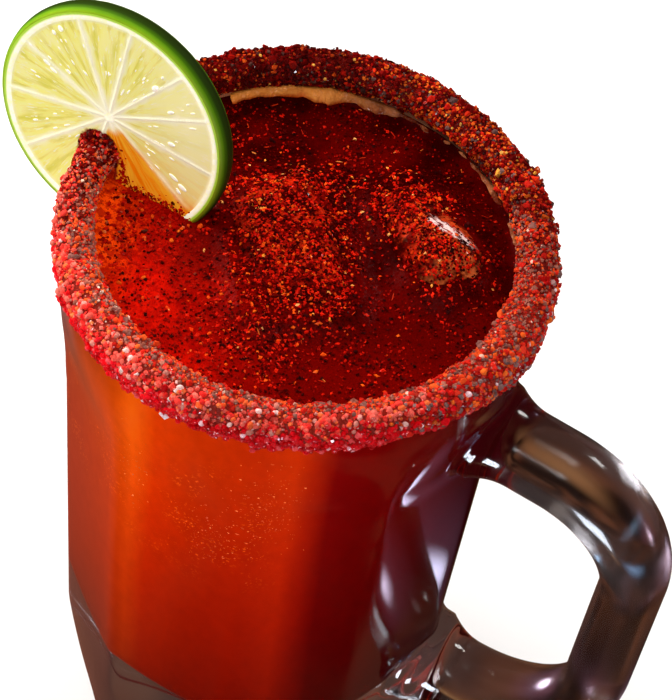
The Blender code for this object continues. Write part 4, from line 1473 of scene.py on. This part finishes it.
def mark_lime(bm):
    """Marks each vertex of the flat slice for the materials, and swells the juice sacs."""
    face_z = LIME_THICKNESS / 2
    blend_from, blend_width = LIME_REACH_BLEND
    turn, reach, edge, depth, slit = (
        bm.verts.layers.float.new(name) for name in ("turn", "reach", "edge", "depth", "slit")
    )
    outline = slit_outline()
    for vert in bm.verts:
        p = vert.co
        r = p.xy.length
        from_core = p.xy - LIME_CORE.xy
        # The turn jumps by a whole circle at the bottom, where the slit is.
        vert[turn] = math.degrees(math.atan2(from_core.x, from_core.y)) / LIME_TURN_UNIT
        outer = clamp((r - blend_from) / blend_width)
        vert[reach] = (from_core.length + (r - from_core.length) * outer) / LIME_RADIUS
        vert[depth] = (face_z - p.z) / LIME_THICKNESS
        degrees = vert[turn] * LIME_TURN_UNIT
        across = min(turn_between(degrees, side) for side in LIME_MEMBRANES)
        away = from_core.length * math.sin(math.radians(min(across, 90.0)))
        away = min(away, max(0.0, LIME_PITH - r) * 1.7)
        vert[edge] = clamp(1.25 - away / (0.0009 + 0.0005 * noise.noise(p * 500.0)))
        ragged = 0.00035 + 0.0005 * noise.noise(p * 900.0)
        vert[slit] = clamp(1.0 - (slit_distance(p.xy, outline) - ragged) / 0.0004)
        if r < LIME_PITH and face_z - 0.0007 < abs(p.z) < face_z - 0.0002:
            swell = noise.noise(Vector((vert[turn] * 9.0, from_core.length * 260.0, p.z * 10)))
            vert.co.z += math.copysign(0.00022 * swell + 0.00008, p.z)


def make_lime():
    """The slice, slotted over the rim, with its flesh, pith and peel as three materials."""
    bm = bmesh.new()
    lime_half(bm)
    bmesh.ops.mirror(bm, geom=bm.verts[:] + bm.edges[:] + bm.faces[:], axis="Z", merge_dist=1e-6)
    bmesh.ops.recalc_face_normals(bm, faces=bm.faces)
    flat = as_object("lime_flat", as_mesh("lime_flat", bm))
    bm = combine(flat, slit_cutter(), "DIFFERENCE")
    bpy.data.objects.remove(flat)
    divide_flesh(bm)
    mark_lime(bm)
    bmesh.ops.transform(bm, matrix=lime_place(), verts=bm.verts)
    wheel = add_piece(
        "lime_wheel", bm, lime_flesh(), replaces=("lime_slice",), sharp=CUT_SHARP,
    )
    wheel.data.materials.append(lime_pith())
    wheel.data.materials.append(lime_peel())
    back = lime_place().inverted()
    for face in wheel.data.polygons:
        p = (back @ face.center).xy
        if p.length > LIME_PEEL:
            face.material_index = 2
        elif p.length > LIME_PITH - 0.00035 or (p - LIME_CORE.xy).length < LIME_CORE_RADIUS:
            face.material_index = 1


def make_juice_beads():
    """Beads of juice that stand on the cut flesh, drawn out along its rays, near white and glowing
    as painted glints.
    """
    rng = random.Random(12)
    finish = Recipe("juice_glint_beads").finish(
        (0.96, 0.95, 0.80), 0.12, coat=1.0, coat_roughness=0.03, glow=0.35,
        glow_colour=(0.96, 0.95, 0.84),
    )
    beads = [(Vector((x, y)), size, length) for x, y, size, length in JUICE_BEADS]
    while len(beads) < JUICE_BEAD_COUNT:
        reach = rng.uniform(0.30, 0.88) * LIME_PITH
        turn = math.radians(rng.uniform(-170.0, 128.0))
        spot = LIME_CORE.xy + Vector((math.sin(turn), math.cos(turn))) * reach
        if ripple(spot.x, spot.y, 0.3, 130.0) > 0.0:
            beads.append((spot, rng.uniform(0.00010, 0.00022), rng.uniform(1.8, 4.5)))
    bm = bmesh.new()
    place = lime_place()
    for spot, size, length in beads:
        ray = (spot - LIME_CORE.xy).normalized()
        turn = Matrix.Rotation(math.atan2(ray.y, ray.x), 4, "Z")
        shape = Matrix.Diagonal((size * length, size, size * 0.45, 1.0))
        lift = Matrix.Translation((spot.x, spot.y, LIME_THICKNESS / 2 - 0.00012))
        matrix = place @ lift @ turn @ shape
        bmesh.ops.create_icosphere(bm, subdivisions=2, radius=1.0, matrix=matrix)
    add_piece("juice_glint_beads", bm, finish)


# What floats on the drink


def height_field(*pieces):
    """The tops of these pieces, for dropping grains onto."""
    verts = []
    faces = []
    for piece in pieces:
        first = len(verts)
        verts += [vert.co.copy() for vert in piece.data.vertices]
        faces += [[first + index for index in face.vertices] for face in piece.data.polygons]
    return BVHTree.FromPolygons(verts, faces)


def floating_spots(count, sizes, flat, length, rng, ground, lift=0.3, keep=None):
    """Spots on the drink and the ice, found by dropping straight down onto them."""
    spots = []
    tries = 0
    while len(spots) < count and tries < count * 40:
        tries += 1
        radius = FLOATING_RADIUS * math.sqrt(rng.random())
        angle = rng.uniform(0, math.tau)
        x, y = radius * math.cos(angle), radius * math.sin(angle)
        if keep is not None and rng.random() > keep(x, y):
            continue
        size = rng.uniform(*sizes)
        hit, normal, _, _ = ground.ray_cast(Vector((x, y, DROP_FROM)), Vector((0, 0, -1)))
        if hit is None or near_lime(hit, 0.0003 + size):
            continue
        flatness = rng.uniform(*flat)
        place = hit + normal * size * flatness * lift
        spots.append((place, normal, size, flatness, rng.uniform(*length), 0.0))
    return spots


def waterline_spots(count, rng):
    """Spots on the front face of the slice just over the drink, where seasoning has stuck to it."""
    place = lime_place()
    normal = place.to_3x3() @ Vector((0.0, 0.0, 1.0))
    spots = []
    while len(spots) < count:
        point = Vector((rng.uniform(STUCK_FROM, STUCK_TO), STUCK_AT + abs(rng.gauss(0, 0.0012))))
        point.y += rng.uniform(0.0, 0.007) * max(0.0, 1.0 - (point.x - STUCK_FROM) / 0.004)
        if point.length > LIME_RADIUS - 0.0006:
            continue
        size = rng.uniform(0.00016, 0.00042)
        spot = place @ Vector((point.x, point.y, LIME_THICKNESS / 2 + size * 0.1 - 0.0003))
        spots.append((spot, normal, size, rng.uniform(0.5, 0.9), rng.uniform(0.8, 1.5), 0.0))
    return spots


def on_ice(x, y):
    """1 on the crests of the ice, fading unevenly to 0 off it."""
    ragged = 0.0045 * ripple(x, y, 9.0, 160.0) + 0.0030 * ripple(x, y, 3.0, 420.0)
    return ease(clamp((0.0010 - ice_gap(x, y) + ragged) / 0.0080))


def heaped(x, y):
    """Dense on the ice and on a bank of seasoning in front of the longer block."""
    along = clamp((BANK_START[1] - y * 1000) / -BANK_RUN[1])
    off_x = x * 1000 - (BANK_START[0] + BANK_RUN[0] * along)
    off_y = y * 1000 - (BANK_START[1] + BANK_RUN[1] * along)
    bank = Vector((off_x, off_y)).length / BANK_WIDTH
    return max(on_ice(x, y), BANK_DENSITY * math.exp(-bank * bank))


def off_frost_glint(x, y):
    """Little seasoning lies along the pale band of frosted ice and painted highlight on the block
    by the handle.
    """
    along = Matrix.Rotation(FROST_GLINT_TURN, 2) @ (Vector((x, y)) - Vector(CREST[:2]))
    gap = Vector((along.x / FROST_GLINT_HALF[0], along.y / FROST_GLINT_HALF[1])).length
    return min(1.0, 0.06 + max(0.0, gap - 0.55))


def patchy(x, y):
    cloud = 0.5 + 0.9 * ripple(x, y, 5.0, 110.0)
    return min(1.0, max(0.04, cloud * 0.40 + 0.80 * heaped(x, y))) * off_frost_glint(x, y)


def on_heaps(x, y):
    return (0.02 + 0.98 * heaped(x, y)) * off_frost_glint(x, y)


def by_lime(x, y):
    away = Vector((x - CLOTS_PLACE[0], (y - CLOTS_PLACE[1]) * 0.5))
    return max(0.0, 1.0 - away.length / CLOTS_REACH)


def powder_tint(rng, place, share):
    """Painted shade and light: nearly black away from the lime, and clotted red where light comes
    through beside the lime.
    """
    side = to_right(place.x, place.y) - 0.35 * to_front(place.x, place.y)
    lit = rng.random() < (-0.006 - side) / 0.030
    return pick(rng, PAINTED_LIT_POWDER_TINTS if lit else SHADED_POWDER_TINTS)


def make_floaters(ground):
    """Powder, dark specks, orange flakes, clots by the lime and fibres, on the drink and ice."""
    rng = random.Random(21)

    def fall(count, sizes, flat, length, lift=0.3, keep=None):
        return floating_spots(count, sizes, flat, length, rng, ground, lift, keep)

    def strew(name, spots, shape, roughness, tint, shine=0.0):
        recipe = Recipe(name)
        finish = recipe.finish(recipe.attribute("tint", "Color"), roughness, specular=0.03,
                               coat=recipe.attribute("shine"), coat_roughness=0.08)
        scatter(name, spots, shape, finish, rng, tint, shine)

    spots = fall(7400, (0.00012, 0.00025), (0.6, 1.0), (0.8, 1.6), keep=patchy)
    strew("powder_red", spots, chip, 0.5, powder_tint, 0.10)
    spots = fall(210, (0.00016, 0.00034), (0.4, 0.8), (0.8, 1.5))
    strew("specks_dark", spots, chip, 0.5, picking(SPECK_TINTS))
    spots = fall(1900, (0.00018, 0.00048), (0.22, 0.45), (0.8, 1.6), 0.6, on_heaps)
    strew("flakes_orange", spots, shard, 0.4, picking(FLAKE_TINTS), 0.60)
    spots = fall(420, (0.00022, 0.00050), (0.5, 0.9), (0.8, 1.5), 0.3, by_lime)
    spots += waterline_spots(520, rng)
    strew("clots_by_lime", spots, crystal, 0.4, picking(CLOT_TINTS), 0.2)
    spots = fall(90, (0.00006, 0.00010), (0.8, 1.0), (4.0, 9.0), 0.8)
    strew("fibres_red", spots, chip, 0.4, picking(FIBRE_TINTS))


def make_bubbles():
    """Small bubbles that cling in a few patches to the inside of the glass at the front."""
    rng = random.Random(5)
    recipe = Recipe("wall_bubbles")
    # The bubbles glow, as painted light.
    finish = recipe.finish(recipe.attribute("tint", "Color"), 0.3, glow=0.35)
    spots = []
    for middle, height, spread, rise, count in BUBBLE_PATCHES:
        made = 0
        while made < count:
            angle = rng.gauss(middle, spread)
            z = min(rng.gauss(height, rise), BUBBLE_HIGHEST)
            if rng.random() > 0.5 + 2.2 * noise.noise(Vector((angle * 0.9, z * 700.0, 4.0))):
                continue
            made += 1
            normal = Matrix.Rotation(math.radians(angle), 3, "Z") @ Vector((1, 0, 0))
            spot = normal * (inner_radius(z) + INTO_WALL) + Vector((0, 0, z))
            size = rng.uniform(0.00004, 0.00011) * rng.choice((1.0, 1.0, 1.0, 2.0))
            spots.append((spot, normal, size, 0.6, 1.0, 0.0))
    tint = picking(BUBBLE_TINTS)
    scatter("wall_bubbles", spots, crystal, finish, rng, tint, sharp=None)


# Room


def make_floor():
    """A pale floor. Mirrored in the glass or seen through it, it is a dark table with cards."""
    bm = bmesh.new()
    bmesh.ops.create_grid(bm, x_segments=2, y_segments=2, size=6.0)
    recipe = Recipe("pale_floor")
    place = recipe.place()
    pale = recipe.node("ShaderNodeBsdfDiffuse", {0: (0.86, 0.86, 0.86)})
    grain = recipe.noise(recipe.mapped(place, scale=(1.0, 0.45, 1.0)), 26.0, 2.0)
    under_mug = 1.0 - recipe.distance(place, (0.0, 0.0, 0.0)).between(0.04, 0.09)
    cards = [
        (1.0 - recipe.distance(place, (*middle, 0.0)).between(0.0, radius), colour)
        for middle, radius, colour in FLOOR_CARDS
    ]
    table = recipe.layered(
        (0.008, 0.003, 0.002),
        (grain.between(0.42, 0.62), (0.13, 0.050, 0.024)),
        (under_mug * 0.6, (0.11, 0.058, 0.048)),
        *cards,
    )
    dim = recipe.node("ShaderNodeEmission", {0: table, 1: 1.0})
    shown = recipe.ray("Camera").math("MAXIMUM", recipe.ray("Diffuse"))
    floor = as_object("floor", as_mesh("floor", bm))
    floor.data.materials.append(recipe.close(recipe.mix_shaders(shown, dim, pale)))


def add_lamp(name, place, size, watts, colour, mirrored):
    """A soft rectangular lamp turned to the mug, which is either only mirrored or only lights."""
    lamp = bpy.data.lights.new(name, "AREA")
    lamp.shape = "RECTANGLE"
    lamp.size, lamp.size_y = size
    lamp.energy = watts
    lamp.color = colour
    holder = as_object(name, lamp)
    holder.location = place
    holder.rotation_mode = "QUATERNION"
    holder.rotation_quaternion = (LAMP_TARGET - Vector(place)).to_track_quat("-Z", "Y")
    holder.visible_diffuse = not mirrored
    holder.visible_glossy = mirrored
    holder.visible_transmission = mirrored


def make_light():
    """Soft studio light: windows on the lime's side and behind, a weak overhead, and small lamps to
    mirror. The camera sees a white room, and the glass a dim one."""
    recipe = Recipe("studio", "worlds")
    room = recipe.mix(recipe.ray("Diffuse"), (0.026, 0.015, 0.013), (0.20, 0.17, 0.15))
    around = recipe.node("ShaderNodeBackground", {0: room})
    backdrop = recipe.node("ShaderNodeBackground", {0: (0.80, 0.80, 0.80)})
    either = recipe.mix_shaders(recipe.ray("Camera"), around, backdrop)
    bpy.context.scene.world = recipe.close(either, "ShaderNodeOutputWorld")
    for lamp in LIGHTING_LAMPS:
        add_lamp(*lamp, mirrored=False)
    for lamp in MIRRORED_LAMPS:
        add_lamp(*lamp, mirrored=True)


def make_camera():
    camera = bpy.data.cameras.new("camera")
    camera.lens = CAMERA_LENS
    camera.sensor_width = 36.0
    camera.clip_start = 0.01
    camera.clip_end = 20.0
    holder = as_object("camera", camera)
    sin_h, cos_h = math.sin(CAMERA_HEADING), math.cos(CAMERA_HEADING)
    sin_p, cos_p = math.sin(CAMERA_PITCH), math.cos(CAMERA_PITCH)
    ahead = Vector((-sin_h * cos_p, cos_h * cos_p, -sin_p))
    level = Vector((cos_h, sin_h, 0.0))
    upright = level.cross(ahead)
    right = level * math.cos(CAMERA_ROLL) + upright * math.sin(CAMERA_ROLL)
    up = upright * math.cos(CAMERA_ROLL) - level * math.sin(CAMERA_ROLL)
    turn = Matrix((right, up, -ahead)).transposed().to_4x4()
    holder.matrix_world = Matrix.Translation(CAMERA_PLACE) @ turn
    bpy.context.scene.camera = holder


make_camera()
make_light()
make_floor()
make_mug()
drink = make_drink()
blocks = [make_ice(name) for name in ICE]
make_foam()
make_crust_bed()
make_grains()
make_lime()
make_juice_beads()
make_floaters(height_field(drink, *blocks))
make_bubbles()
bpy.context.scene.view_settings.view_transform = "Standard"

bpy.context.view_layer.update()
